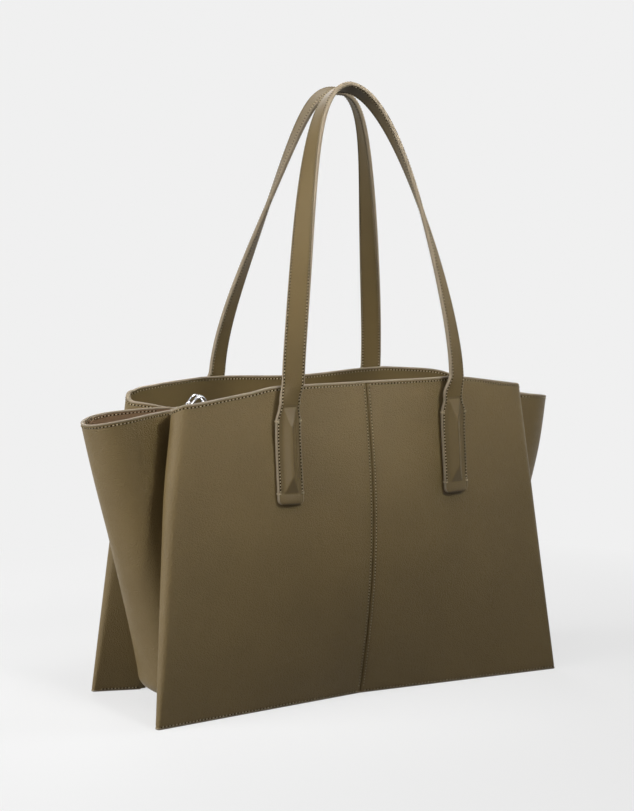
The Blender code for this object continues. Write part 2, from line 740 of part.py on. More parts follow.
def core_face(offset, z, is_back):
    """Distance of the filler's outer face from the middle, this far sideways from the tab's centre line.

    At the tab's padded end it follows the wall, and at the hinge it lies flat behind the strap.
    """
    strap_face = STRAP_DEPTH - STRAP_THICKNESS / 2 - 2 * GAP
    at_hinge = strap_face - wall_depth_at(TAB_X + offset, HINGE_HEIGHT, is_back)
    share = (z - TAB_BOTTOM) / (HINGE_HEIGHT - TAB_BOTTOM)
    return wall_depth_at(TAB_X + offset, z, is_back) + GAP + lerp(CORE_BOTTOM_THICKNESS, at_hinge, share)


def tab_half_width(z):
    full = TAB_WIDTH / 2
    neck = STRAP_WIDTH / 2
    if z < TAB_BOTTOM + TAB_CORNER:
        return full - (TAB_BOTTOM + TAB_CORNER - z)
    return lerp(full, neck, smooth((z - TAB_SHOULDER) / (TAB_RIDGE_TOP - TAB_SHOULDER)))


def ridge_height(z):
    rise = (z - TAB_RIDGE_BOTTOM) / (TAB_RIDGE_LOW - TAB_RIDGE_BOTTOM)
    fall = (TAB_RIDGE_TOP - z) / (TAB_RIDGE_TOP - TAB_RIDGE_HIGH)
    return TAB_RIDGE_HEIGHT * min(max(min(rise, fall), 0.0), 1.0)


def make_tab(name, side_x, is_back, collection, material):
    side_y = 1 if is_back else -1
    levels = (TAB_BOTTOM, TAB_BOTTOM + TAB_CORNER, TAB_RIDGE_BOTTOM, TAB_RIDGE_LOW,
              lerp(TAB_RIDGE_LOW, TAB_RIDGE_HIGH, 0.5), TAB_RIDGE_HIGH, TAB_SHOULDER,
              lerp(TAB_SHOULDER, TAB_RIDGE_TOP, 0.5), TAB_RIDGE_TOP, HINGE_HEIGHT)
    sections = []
    for z in levels:
        half = tab_half_width(z)
        ridge = min(TAB_RIDGE_HALF_WIDTH, half - TAB_CORNER)
        profile = [(-half, 0.0), (-half, STRAP_THICKNESS), (-ridge, STRAP_THICKNESS),
                   (0.0, STRAP_THICKNESS + ridge_height(z)), (ridge, STRAP_THICKNESS),
                   (half, STRAP_THICKNESS), (half, 0.0)]
        sections.append([Vector((side_x * (TAB_X + x), side_y * (core_face(x, z, is_back) + GAP + y), z))
                         for x, y in profile])
    return loft(name, sections, collection, material)


def make_core(name, side_x, is_back, collection, material):
    side_y = 1 if is_back else -1
    sections = []
    steps = 5
    for step in range(steps + 1):
        z = lerp(TAB_BOTTOM + CORE_INSET, HINGE_HEIGHT - GAP, step / steps)
        half = tab_half_width(z) - CORE_INSET
        profile = [(-half, wall_depth_at(TAB_X - half, z, is_back) + GAP),
                   (-half, core_face(-half, z, is_back)), (half, core_face(half, z, is_back)),
                   (half, wall_depth_at(TAB_X + half, z, is_back) + GAP)]
        sections.append([Vector((side_x * (TAB_X + x), side_y * y, z)) for x, y in profile])
    return loft(name, sections, collection, material)


def main():
    for obj in list(bpy.data.objects):
        bpy.data.objects.remove(obj, do_unlink=True)
    bag = bpy.data.collections.new("Tote bag")
    cutters = bpy.data.collections.new("Cutters")
    bpy.context.scene.collection.children.link(bag)
    bpy.context.scene.collection.children.link(cutters)

    leather = make_material("Olive pebbled leather", OLIVE, 0.48)
    smooth_leather = make_material("Olive smooth leather", OLIVE_SMOOTH, 0.42)
    suede = make_material("Brown suede", SUEDE, 0.95)
    tape = make_material("Zip tape", TAPE_BROWN, 0.90)
    board = make_material("Stiffener board", BOARD_GREY, 0.85)
    metal = make_material("Silver metal", SILVER, 0.22, 1.0)

    wall_layer = PANEL_THICKNESS + GAP
    for wall, is_back in (("front", False), ("back", True)):
        side_y = 1 if is_back else -1
        for side, side_x in (("left", -1), ("right", 1)):
            make_wall_half(f"{wall}_panel_{side}", side_x, is_back, bag, leather)
            make_tab(f"{wall}_tab_{side}", side_x, is_back, bag, leather)
            make_core(f"{wall}_tab_filler_{side}", side_x, is_back, bag, board)
        make_wall_layer(f"{wall}_facing", is_back, wall_layer, FACING_THICKNESS,
                        lambda rim: rim - FACING_HEIGHT, lambda rim: rim - RIM_STEP, 2,
                        (PANEL_STEPS, FOLD_STEPS, FLAP_STEPS), bag, smooth_leather)
        make_wall_layer(f"{wall}_lining", is_back, wall_layer, LINING_THICKNESS,
                        lambda rim: board_top() + GAP, lambda rim: rim - FACING_HEIGHT - RIM_STEP,
                        LINING_ROWS, LINING_STEPS, bag, suede)
        make_divider(f"{wall}_divider", side_y, bag, suede)
        make_zip_tape(f"zip_tape_{wall}", side_y, bag, tape)
        make_zip_teeth(f"zip_teeth_{wall}", side_y, bag, metal)
        for side, side_x in (("left", -1), ("right", 1)):
            make_zip_stop(f"zip_stop_{wall}_{side}", side_x, side_y, bag, metal)
    for side, side_x in (("left", -1), ("right", 1)):
        make_wing(f"wing_{side}", side_x, bag, leather)
        make_wing_lining(f"wing_lining_{side}", side_x, bag, suede)
    make_base(bag, cutters, leather)
    make_board(bag, board)
    make_slider(bag, metal)
    make_crown(bag, metal)
    make_puller(bag, metal)
    make_strap("front_strap", FRONT_ROUTE, -1, bag, leather, leather)
    make_strap("back_strap", BACK_ROUTE, 1, bag, leather, leather)


main()
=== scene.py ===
"""Looks of the leather tote bag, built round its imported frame. Metres, +Z up, the front faces -Y."""

import math

import bmesh
import bpy
import numpy as np
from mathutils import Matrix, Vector


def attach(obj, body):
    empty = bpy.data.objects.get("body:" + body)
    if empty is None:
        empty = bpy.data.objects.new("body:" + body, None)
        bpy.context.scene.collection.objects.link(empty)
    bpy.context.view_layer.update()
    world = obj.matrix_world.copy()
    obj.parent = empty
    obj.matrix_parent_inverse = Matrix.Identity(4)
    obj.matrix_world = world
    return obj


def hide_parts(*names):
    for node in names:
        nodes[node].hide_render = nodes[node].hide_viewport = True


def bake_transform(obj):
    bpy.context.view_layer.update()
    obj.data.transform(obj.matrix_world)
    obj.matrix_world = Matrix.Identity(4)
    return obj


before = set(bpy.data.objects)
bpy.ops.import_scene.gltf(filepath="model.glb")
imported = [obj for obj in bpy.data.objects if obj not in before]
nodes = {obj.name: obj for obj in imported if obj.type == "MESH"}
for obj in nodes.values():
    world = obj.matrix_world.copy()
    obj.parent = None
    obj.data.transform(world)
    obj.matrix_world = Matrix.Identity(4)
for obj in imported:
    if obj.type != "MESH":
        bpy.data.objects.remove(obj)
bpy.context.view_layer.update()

# Sizes shared with the solids
GAP = 0.0003
PANEL_THICKNESS = 0.0020
WING_THICKNESS = 0.0016
FACING_THICKNESS = 0.0012
LINING_THICKNESS = 0.0008
FOLD_HALF_WIDTH = (0.1985, 0.1730)
FOLD_DEPTH = (0.0668, 0.0385)
FOLD_RADIUS = (0.0030, 0.0125)
FOLD_INNER_RADIUS = 0.0006
SEAM_DEPTH = (0.0527, 0.0610)
BELLY = 0.0173
SEAM_FLARE = (math.radians(5.0), math.radians(4.5))
PANEL_ANGLE = (math.radians(95.0), math.radians(78.0))
FLAP_ANGLE = (math.radians(75.0), math.radians(40.0))
FLAP_END_ANGLE_TOP = math.radians(65.0)
FRONT_RIM = (0.2700, 0.0900, 0.2592)
BACK_RIM = (0.2706, 0.0950, 0.2610)
BACK_RIM_SAG = 0.0032
FLAP_RIM_HEIGHT = 0.2526
JUNCTION_HEIGHT = 0.2500
JUNCTION_HALF_WIDTH = (0.1590, 0.1480)
JUNCTION_DEPTH = (0.0520, 0.0115)
WING_TIP_HEIGHT = 0.2415
WING_TIP_HALF_WIDTH = 0.2300
WING_FOOT_HALF_WIDTH = 0.1790
WING_FOOT_RADIUS = 0.0140
WING_FOOT_HEIGHT = 0.0110
WING_ROUNDNESS = (0.97, 0.68)
BOARD_TOP = 0.0130
BOARD_HALF_WIDTH = 0.1500
DIVIDER_HEIGHT = 0.2467
DIVIDER_THICKNESS = 0.0012
DIVIDER_FOOT_DEPTH = 0.0489
FACING_HEIGHT = 0.0400
TAPE_HEIGHT = 0.2470
TEETH_MIDDLE = 0.2473
TEETH_HALF_LENGTH = 0.1415
SLIDER_X = -0.1350
SLIDER_TOP = 0.2497
PIVOT_HEIGHT = 0.2516
STRAP_DEPTH = 0.0715
STRAP_WIDTH = 0.0185
STRAP_THICKNESS = 0.0035
STRAP_SPACING = 0.1600
HINGE_HEIGHT = 0.2555
TAB_X = 0.0805
TAB_WIDTH = 0.0222
TAB_BOTTOM = 0.1732
TAB_SHOULDER = 0.2412
TAB_RIDGE = (0.1820, 0.1960, 0.2355, 0.2523)
TAB_RIDGE_HALF_WIDTH = 0.0068
ROUTES = {
    "front": {"places": ((0.0039, 0.0432), (0.0670, 0.0046, 0.3500), (0.0547, 0.0414, 0.4833), 0.0270,
                         (0.0601, 0.5183)), "lean": (0.0044, 0.0100), "twist": (-0.6303, 1.5336),
              "skew": 0.0540, "roll": 0.3175},
    "back": {"places": ((0.0024, 0.0600), (0.0644, 0.0182, 0.3695), (0.0345, 0.0525, 0.4599), 0.0389,
                        (0.0599, 0.5174)), "lean": (0.0057, 0.0129), "twist": (-0.5315, 1.2793),
             "skew": 0.1800, "roll": -0.3089},
}

# Sizes of what is only seen, or differs a little from the solids
RIM_STITCH = 0.0030
FOOT_STITCH = 0.0024
SEAM_STITCH = 0.0024
STRAP_STITCH = 0.0017
BASE_END_HEIGHT = 0.0092
PAINT_RADIUS = 0.0009
TAB_CORNER = 0.0042
TAB_RIDGE_HEIGHT = 0.0058
RIDGE_ROUNDING = 0.00022
TAB_LEAN = {"left": 0.0008, "right": 0.0016}
TAB_SHIFT = {"left": 0.0006, "right": 0.0022}
TAB_SPARE = {"left": 0.0001, "right": 0.0015}
TAB_DROP = {"left": 0.0006, "right": 0.0019}
NECK_LEAN = 0.0010
STITCH_PITCH = 0.0031
STRAP_PITCH = 0.0027
STRAP_THREAD = 0.00040
THREAD_LIFT = 0.00018
# Lift and size of the dark discs of painted shade in the stitch holes
HOLE_SHADE_LIFT = 0.00016
HOLE_SHADE_SIZE = (0.00086, 0.00074, 0.00042)
RIM_TILT = 0.031
WALL_FOOT = 0.0010
PAINT_HEIGHT = 0.0012
FRONT_FOLD_BEND = 0.0044
BACK_FOLD_BEND = -0.0014
WING_FLAT_SHARE = 0.3
WING_BULGE = {-1: 0.0008, 1: 0.0023}
RIGHT_WING_LIFT = 0.0011
RIGHT_WING_SPREAD = 0.0025
RIGHT_WING_TUCK = 0.0009
FACING_STITCH = 0.0366
STRAP_STEPS = 110
STRAP_SAMPLES = 240
TEETH_COUNT = 120
DIVIDER_BAND = 0.9
DIVIDER_STITCH = 0.915
SLIDER_HALF_WIDTH = 0.0048
SLIDER_PLATES = ((SLIDER_TOP - 0.0011, SLIDER_TOP, 0.00035), (0.2449, 0.2459, 0.0003))
SLIDER_LIPS = ((0.2479, SLIDER_TOP - 0.0003), (0.2451, 0.2467))
TAPE_START = 0.0042
TAPE_HALF_LENGTH = 0.1443
CORD_HALF_LENGTH = 0.1418
END_TAB_HALF_WIDTH = 0.0082
END_TAB_REACH = (0.1424, 0.1500)
END_TAB_HEIGHTS = (0.2461, 0.2490)

# Names, outlines and the spacing of rows and columns

WALLS = ("front", "back")
SIDES = {-1: "left", 1: "right"}
BEAD = ((-0.00004, -0.0016), (-0.00014, -0.0012), (-0.00012, -0.0007), (0.0001, -0.00028), (0.0006, -0.00006),
        (0.0012, 0.0))
TOOTH = ((0.00078, 0.0036), (0.00062, 0.0016), (0.00074, 0.0009), (0.0004, 0.00042))
PULLER_RAIL = ((0.0, 0.75), (0.1, 0.94), (0.25, 1.0), (0.4, 1.0), (0.55, 1.0), (0.7, 1.0), (0.85, 0.9),
               (0.96, 0.6))
SEAM_REACH = 0.20
SEAM_COLUMNS = [x / SEAM_REACH for x in (0.0, 0.0003, 0.0007, 0.0012, 0.0018, 0.0022, 0.0025, 0.0028, 0.0032,
                                         0.004, 0.0055, 0.008, 0.0115, 0.016)]
WALL_MIDDLE_ROWS = 34
EDGE_STEPS = (0.0, 0.0005, 0.0009, 0.0013, 0.0017, 0.0021, 0.0025, 0.0030, 0.0036, 0.0043, 0.0052, 0.0063,
              0.0075, 0.0100, 0.0135)
FACING_DROPS = (0.0012, 0.0022, 0.0030, 0.0036, 0.0040, 0.0043, 0.0046, 0.0050, 0.0058, 0.0075, 0.011, 0.016,
                0.022, 0.028, 0.032, 0.0345, 0.0358, 0.0366, 0.0374, 0.0384, 0.0392, 0.0398, 0.0400)
WING_DROPS = (0.0100, 0.0075, 0.0060, 0.0052, 0.0047, 0.0043, 0.0039, 0.0034, 0.0026, 0.0018, 0.0012)
TAB_STEPS = (0.0, 0.0002, 0.0006, 0.0012, 0.002, 0.003, 0.0042, 0.0055, 0.007)


def lerp(a, b, t):
    return a + (b - a) * t


def smooth(t):
    t = min(max(t, 0.0), 1.0)
    return t * t * (3.0 - 2.0 * t)


def dent(distance, width):
    return math.exp(-((distance / width) ** 2))


def bezier(points, t):
    points = [Vector(point) for point in points]
    while len(points) > 1:
        points = [a.lerp(b, t) for a, b in zip(points, points[1:])]
    return points[0]


# Walls: column t is 0 at the centre seam, 1 and 2 at the ends of the side fold, 3 at the wing


def fold_arc(v, depth):
    """Centre, radius and end angles of the arc in the side fold."""
    outer_radius = lerp(*FOLD_RADIUS, v)
    centre = Vector((lerp(*FOLD_HALF_WIDTH, v) - outer_radius, lerp(*FOLD_DEPTH, v)))
    panel_angle = lerp(*PANEL_ANGLE, v)
    flap_angle = lerp(*FLAP_ANGLE, v)
    to_panel = Vector((-math.sin(panel_angle), math.cos(panel_angle)))
    to_flap = Vector((-math.sin(flap_angle), -math.cos(flap_angle)))
    shift = max(0.0, depth + FOLD_INNER_RADIUS - outer_radius)
    centre += (to_panel + to_flap).normalized() * shift / math.sin(to_panel.angle(to_flap) / 2)
    return centre, max(outer_radius - depth, FOLD_INNER_RADIUS), panel_angle, flap_angle


def wall_plan(t, v, depth):
    """Point in plan, this deep in the leather. v is 0 at the foot and 1 at the rim."""
    centre, radius, panel_angle, flap_angle = fold_arc(v, depth)
    if t <= 1.0:
        flare = SEAM_FLARE[0] * (1.0 - v) ** 3 + SEAM_FLARE[1] * v ** 3
        seam = lerp(*SEAM_DEPTH, v) + BELLY * math.sin(math.pi * v)
        start = Vector((0.0, seam - depth / math.cos(flare)))
        end = centre + radius * Vector((math.cos(panel_angle), math.sin(panel_angle)))
        reach = (end - start).length
        leave = start + 0.40 * reach * Vector((math.cos(flare), math.sin(flare)))
        arrive = end - 0.28 * reach * Vector((math.sin(panel_angle), -math.cos(panel_angle)))
        return bezier((start, leave, arrive, end), t)
    if t <= 2.0:
        angle = lerp(panel_angle, -flap_angle, t - 1.0)
        return centre + radius * Vector((math.cos(angle), math.sin(angle)))
    end_angle = lerp(FLAP_ANGLE[0], FLAP_END_ANGLE_TOP, v)
    corner = math.tan((math.pi / 2 - end_angle) / 2)
    junction = junction_at(v * JUNCTION_HEIGHT) + Vector((-depth * corner, depth))
    if t > 3.0:
        return junction - Vector(((t - 3.0) * 0.0045, 0.0))
    start = centre + radius * Vector((math.cos(flap_angle), -math.sin(flap_angle)))
    reach = (junction - start).length / 3
    leave = start - reach * Vector((math.sin(flap_angle), math.cos(flap_angle)))
    arrive = junction + reach * Vector((math.sin(end_angle), math.cos(end_angle)))
    return bezier((start, leave, arrive, junction), t - 2.0)


def junction_at(z):
    t = z / JUNCTION_HEIGHT
    return Vector((lerp(*JUNCTION_HALF_WIDTH, t), lerp(*JUNCTION_DEPTH, t)))


RIM_HEIGHTS = {}


def rim_height(t, is_back):
    if (t, is_back) not in RIM_HEIGHTS:
        RIM_HEIGHTS[t, is_back] = new_rim_height(t, is_back)
    return RIM_HEIGHTS[t, is_back]


def new_rim_height(t, is_back):
    height, flat, fold_height = BACK_RIM if is_back else FRONT_RIM
    if t >= 3.0:
        return JUNCTION_HEIGHT
    if t >= 2.0:
        return lerp(FLAP_RIM_HEIGHT, JUNCTION_HEIGHT, t - 2.0)
    if t >= 1.0:
        return lerp(fold_height, FLAP_RIM_HEIGHT, smooth(t - 1.0))
    x = wall_plan(t, 1.0, 0.0).x
    end = wall_plan(1.0, 1.0, 0.0).x
    reach = (x - flat) / (end - flat)
    if not is_back:
        soft = math.log1p(math.exp(reach * 12.0)) / 12.0
        return lerp(height, fold_height, min(soft, 1.0))
    if x < flat:
        return height - BACK_RIM_SAG * (1.0 - smooth(x / flat))
    return lerp(height, fold_height, (reach + reach ** 6) / 2)


def ripple(x, z, phase):
    """Slow swell of the leather, outwards only."""
    wave = math.sin(x * 27.0 + phase) * math.sin(z * 21.0 + 1.7 * phase)
    wave += 0.6 * math.sin(x * 51.0 - 2.0 * phase + z * 18.0)
    return 0.00032 * (wave + 1.6)


def front_lift(x):
    """How far the front rim is above (or below) the even rim that slopes to the left."""
    low = smooth((-x - 0.088) / 0.022) * (1.0 - 0.4 * smooth((-x - 0.155) / 0.015))
    return 0.0009 * smooth((x - 0.06) / 0.05) - 0.0015 * low


def back_lift(x):
    """The same for the back rim."""
    lift = 0.0006 * smooth((x - 0.02) / 0.05) + 0.0026 * smooth((-x - 0.140) / 0.028)
    return lift - 0.0007 * smooth((-x - 0.05) / 0.05)


def wall_at(t, z, depth, side_x, is_back):
    """Point of a wall, with the leather's swell and the top edge's slight slope to the left."""
    v = z / rim_height(t, is_back)
    plan = wall_plan(t, v, depth)
    if t < 2.0:
        swell = ripple(side_x * plan.x, z, 2.1 if is_back else 0.4) * min(1.0, 2.0 - t)
        plan.y += swell * smooth(v * 6.0) * smooth(abs(plan.x) / 0.02)
    x = side_x * plan.x
    lift = back_lift(x) if is_back else front_lift(x)
    height = z * (1.0 + RIM_TILT * x * smooth(v)) + lift * smooth(v)
    if side_x < 0:
        high = smooth((z - 0.16) / 0.10)
        bend = smooth((t - 0.6) / 0.4) * (1.0 - smooth((t - 2.0) / 0.7))
        x += bend * (BACK_FOLD_BEND * high if is_back else FRONT_FOLD_BEND * high ** 1.5)
    return (x, plan.y if is_back else -plan.y, height)


def wall_depth_at(x, z, is_back):
    """Distance of a wall's face from the middle of the bag, found by halving."""
    low, high = 0.0, 1.0
    for _ in range(16):
        middle = (low + high) / 2
        if wall_plan(middle, z / rim_height(middle, is_back), 0.0).x < x:
            low = middle
        else:
            high = middle
    return wall_plan(low, z / rim_height(low, is_back), 0.0).y


# Wings: share s is 0 at the junction and 1 at the tip


def wing_tip(z):
    foot_top = WING_FOOT_HEIGHT + WING_FOOT_RADIUS
    lean = (WING_TIP_HALF_WIDTH - WING_FOOT_HALF_WIDTH) / (WING_TIP_HEIGHT - foot_top)
    sunk = min(max(foot_top - z, 0.0), WING_FOOT_RADIUS)
    rounding = WING_FOOT_RADIUS - math.sqrt(WING_FOOT_RADIUS ** 2 - sunk ** 2)
    return WING_FOOT_HALF_WIDTH + lean * max(z - foot_top, 0.0) - rounding


def wing_plan(s, z, depth):
    junction = junction_at(z)
    tip = wing_tip(z)
    swell = tip - junction.x
    full = (junction.y ** 2 + swell ** 2) / (2 * swell)
    radius = full * lerp(*WING_ROUNDNESS, z / JUNCTION_HEIGHT)
    centre = Vector((tip - radius, 0.0))
    away = junction - centre
    angle = math.atan2(away.y, away.x) - math.acos(radius / away.length)
    across = Vector((math.cos(angle), math.sin(angle)))
    start = junction - depth * (across + Vector((0.0, 1.0))) / (1.0 + across.y)
    touch = centre + (radius - depth) * across
    if s < WING_FLAT_SHARE:
        return start.lerp(touch, s / WING_FLAT_SHARE)
    turn = angle * (1.0 - (s - WING_FLAT_SHARE) / (1.0 - WING_FLAT_SHARE))
    return centre + (radius - depth) * Vector((math.cos(turn), math.sin(turn)))


WING_RIMS = {}


def wing_rim(s):
    if s not in WING_RIMS:
        junction, here, tip = [wing_plan(at, WING_TIP_HEIGHT, 0.0).x for at in (0.0, s, 1.0)]
        share = (here - junction) / (tip - junction)
        WING_RIMS[s] = lerp(JUNCTION_HEIGHT, WING_TIP_HEIGHT, min(max(share, 0.0), 1.0) ** 1.7)
    return WING_RIMS[s]


def wing_at(s, z, depth, side_x, side_y):
    """Point of a wing. The right one stands a little higher and wider."""
    plan = wing_plan(s, z, depth)
    is_right = side_x > 0
    tilt = RIM_TILT * plan.x * (0.9 if is_right else -lerp(0.5, 1.0, smooth((s - 0.5) / 0.4)))
    lift = RIGHT_WING_LIFT * smooth((s - 0.1) / 0.5) if is_right else 0.0
    height = z * (1.0 + tilt * smooth(z / JUNCTION_HEIGHT)) + lift * smooth(z / JUNCTION_HEIGHT - 0.1)
    out = math.sin(math.pi * min(max((z - 0.15) / 0.10, 0.0), 1.0))
    plan.x += WING_BULGE[side_x] * out * smooth((s - 0.3) / 0.5)
    if is_right:
        spread = RIGHT_WING_SPREAD * smooth((0.255 - z) / 0.070) - RIGHT_WING_TUCK
        plan.x += spread * smooth((z - 0.09) / 0.07) * smooth((s - 0.3) / 0.5)
    soft = 0.0006 * math.sin(z * 30.0 + 1.3 * side_y + side_x) * math.sin(math.pi * min(s * 1.2, 1.0))
    return (side_x * plan.x, side_y * max(plan.y + soft * smooth(z * 8.0), 0.0), height)


# Mesh makers


def add_object(name, data):
    obj = bpy.data.objects.new(name, data)
    bpy.context.scene.collection.objects.link(obj)
    return obj


def make_object(name, points, faces, materials, face_slots=None, sharp=55.0, body="bag"):
    mesh = bpy.data.meshes.new(name)
    mesh.from_pydata([tuple(point) for point in points], [], [tuple(face) for face in faces])
    for material in materials:
        mesh.materials.append(material)
    if face_slots is not None:
        mesh.polygons.foreach_set("material_index", face_slots)
    work = bmesh.new()
    work.from_mesh(mesh)
    bmesh.ops.recalc_face_normals(work, faces=work.faces)
    work.to_mesh(mesh)
    work.free()
    mesh.shade_smooth()
    mesh.set_sharp_from_angle(angle=math.radians(sharp))
    obj = add_object(name, mesh)
    if body:
        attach(obj, body)
    return obj


def grid_faces(rows, columns, start=0):
    return [(start + r * columns + c, start + r * columns + c + 1,
             start + (r + 1) * columns + c + 1, start + (r + 1) * columns + c)
            for r in range(rows - 1) for c in range(columns - 1)]


def two_sided(name, outer, inner, materials, slot_of=None):
    """Closed sheet between two grids. slot_of(row) gives a row's material slot."""
    rows, columns = len(outer), len(outer[0])
    count = rows * columns
    points = [p for row in outer + inner for p in row]
    faces = grid_faces(rows, columns) + grid_faces(rows, columns, count)
    slots = [slot_of(row) if slot_of else 0 for row in range(rows - 1) for _ in range(columns - 1)] * 2
    border = list(range(columns)) + [r * columns + columns - 1 for r in range(1, rows)]
    border += [(rows - 1) * columns + c for c in range(columns - 2, -1, -1)]
    border += [r * columns for r in range(rows - 2, 0, -1)]
    for a, b in zip(border, border[1:] + border[:1]):
        faces.append((b, a, a + count, b + count))
        slots.append(0)
    return make_object(name, points, faces, materials, slots)


def tube(name, sections, materials, side_slots=None, body="bag", closed=False, sharp=55.0):
    """Solid through sections that have the same number of points, capped or closed into a ring."""
    size = len(sections[0])
    points = [point for section in sections for point in section]
    faces, slots = [], []
    for level in range(len(sections) if closed else len(sections) - 1):
        after = (level + 1) % len(sections)
        for side in range(size):
            turn = (side + 1) % size
            faces.append((level * size + side, level * size + turn, after * size + turn, after * size + side))
            slots.append(side_slots[side] if side_slots else 0)
    if not closed:
        faces += [tuple(range(size)), tuple(range(len(points) - size, len(points)))]
        slots += [slots[0], slots[0]]
    return make_object(name, points, faces, materials, slots, sharp=sharp, body=body)


class Stitches:
    """Collects rows of thread stitches, and the dark discs between them that paint the shade in the stitch
    holes, into one mesh.
    """

    def __init__(self):
        self.points, self.faces, self.slots, self.count = [], [], [], 0
        rings = ((-1.0, 0.0, -0.9), (-0.86, 0.62, -0.25), (-0.5, 0.95, 0.18), (0.0, 1.0, 0.30),
                 (0.5, 0.95, 0.18), (0.86, 0.62, -0.25), (1.0, 0.0, -0.9))
        sides = 7
        self.template = np.array([(along, wide * math.cos(a), wide * math.sin(a) + lift)
                                  for along, wide, lift in rings for a in turns(sides)])
        self.template_faces = [(r + k, r + (k + 1) % sides, r + sides + (k + 1) % sides, r + sides + k)
                               for r in range(0, sides * (len(rings) - 1), sides) for k in range(sides)]
        self.hole = np.array([(0.0, 0.0, -0.25)] + [(math.cos(a), math.sin(a), 0.0) for a in turns(8)])
        self.hole_faces = [(0, k + 1, (k + 1) % 8 + 1) for k in range(8)]

    def place(self, template, faces, origin, axes, sizes, slot):
        points = origin + (template * sizes) @ axes
        self.points.append(points)
        self.faces += [tuple(self.count + i for i in face) for face in faces]
        self.slots += [slot] * len(faces)
        self.count += len(points)

    def row(self, path, normals, pitch=STITCH_PITCH, radius=0.00038, fill=0.54, slant=9.0, holes=0.86):
        """Adds a row. fill is the share of the pitch that a stitch covers, holes the size of the dark discs of
        painted shade in the stitch holes.
        """
        path, normals = np.array(path, float), np.array(normals, float)
        steps = np.linalg.norm(np.diff(path, axis=0), axis=1)
        lengths = np.concatenate([[0.0], np.cumsum(steps)])
        number = max(1, round(lengths[-1] / pitch))
        true_pitch = lengths[-1] / number
        angle = math.radians(slant)

        def sample(values, at):
            return np.array([np.interp(at, lengths, values[:, k]) for k in range(3)])

        for index in range(number):
            at = (index + 0.5) * true_pitch
            ahead, behind = sample(path, at + 0.0004), sample(path, at - 0.0004)
            along = (ahead - behind) / np.linalg.norm(ahead - behind)
            up = sample(normals, at)
            up -= along * (up @ along)
            up /= np.linalg.norm(up)
            turned = along * math.cos(angle) + np.cross(up, along) * math.sin(angle)
            axes = np.array([turned, np.cross(up, turned), up])
            size = (fill * true_pitch / 2, radius, radius)
            self.place(self.template, self.template_faces, sample(path, at) + up * THREAD_LIFT, axes, size, 0)
            # Between stitches, a flat near-black disc: painted shade in the stitch hole
            if holes:
                spot = sample(path, at + true_pitch / 2) + up * HOLE_SHADE_LIFT
                size = (HOLE_SHADE_SIZE[0] * holes, HOLE_SHADE_SIZE[1] * holes, HOLE_SHADE_SIZE[2])
                self.place(self.hole, self.hole_faces, spot, axes, size, 1)

    def finish(self, name, body="bag"):
        return make_object(name, np.concatenate(self.points), self.faces, [thread, hole_shade], self.slots,
                           sharp=80.0, body=body)


def surface_path(place, ts):
    """Points and normals along a row. place(t, across) gives the surface; across steps over the row."""
    path, normals = [], []
    for t in ts:
        here = np.array(place(t, 0.0))
        ahead = np.array(place(t + 1e-3, 0.0)) - np.array(place(t - 1e-3, 0.0))
        normal = np.cross(ahead, np.array(place(t, 0.0006)) - here)
        path.append(here)
        normals.append(normal / np.linalg.norm(normal))
    return path, normals


# Materials


def new_material(name):
    """A material with its nodes, its main shader and the place on the object."""
    material = bpy.data.materials.new(name)
    material.use_nodes = True
    tree = material.node_tree
    place = tree.nodes.new("ShaderNodeTexCoord").outputs["Object"]
    return material, tree, tree.nodes["Principled BSDF"], place


def add(tree, kind, **inputs):
    """A new node. p_ marks a property of the node, and the rest are its sockets."""
    node = tree.nodes.new(kind)
    for key, value in inputs.items():
        if key.startswith("p_"):
            setattr(node, key[2:], value)
        else:
            node.inputs[key.replace("_", " ")].default_value = value
    return node


def noise(tree, vector, **inputs):
    node = add(tree, "ShaderNodeTexNoise", **inputs)
    tree.links.new(vector, node.inputs["Vector"])
    return node.outputs["Fac"]


def mapping(tree, vector, name, value):
    node = add(tree, "ShaderNodeMapping", **{name: value})
    tree.links.new(vector, node.inputs["Vector"])
    return node.outputs[0]


def bump(tree, shader, height, strength, distance):
    node = add(tree, "ShaderNodeBump", Strength=strength, Distance=distance)
    tree.links.new(height, node.inputs["Height"])
    tree.links.new(node.outputs[0], shader.inputs["Normal"])


def mix_color(tree, factor, a, b):
    node = add(tree, "ShaderNodeMix", p_data_type="RGBA")
    for socket, value in ((node.inputs[0], factor), (node.inputs[6], a), (node.inputs[7], b)):
        if isinstance(value, bpy.types.NodeSocket):
            tree.links.new(value, socket)
        else:
            socket.default_value = (*value, 1.0)
    return node.outputs[2]


def ramp(tree, value, low, high, out_low=0.0, out_high=1.0):
    node = tree.nodes.new("ShaderNodeMapRange")
    tree.links.new(value, node.inputs[0])
    for index, number in enumerate((low, high, out_low, out_high)):
        node.inputs[index + 1].default_value = number
    return node.outputs[0]


def shade(color, factor):
    return tuple(c * factor for c in color)


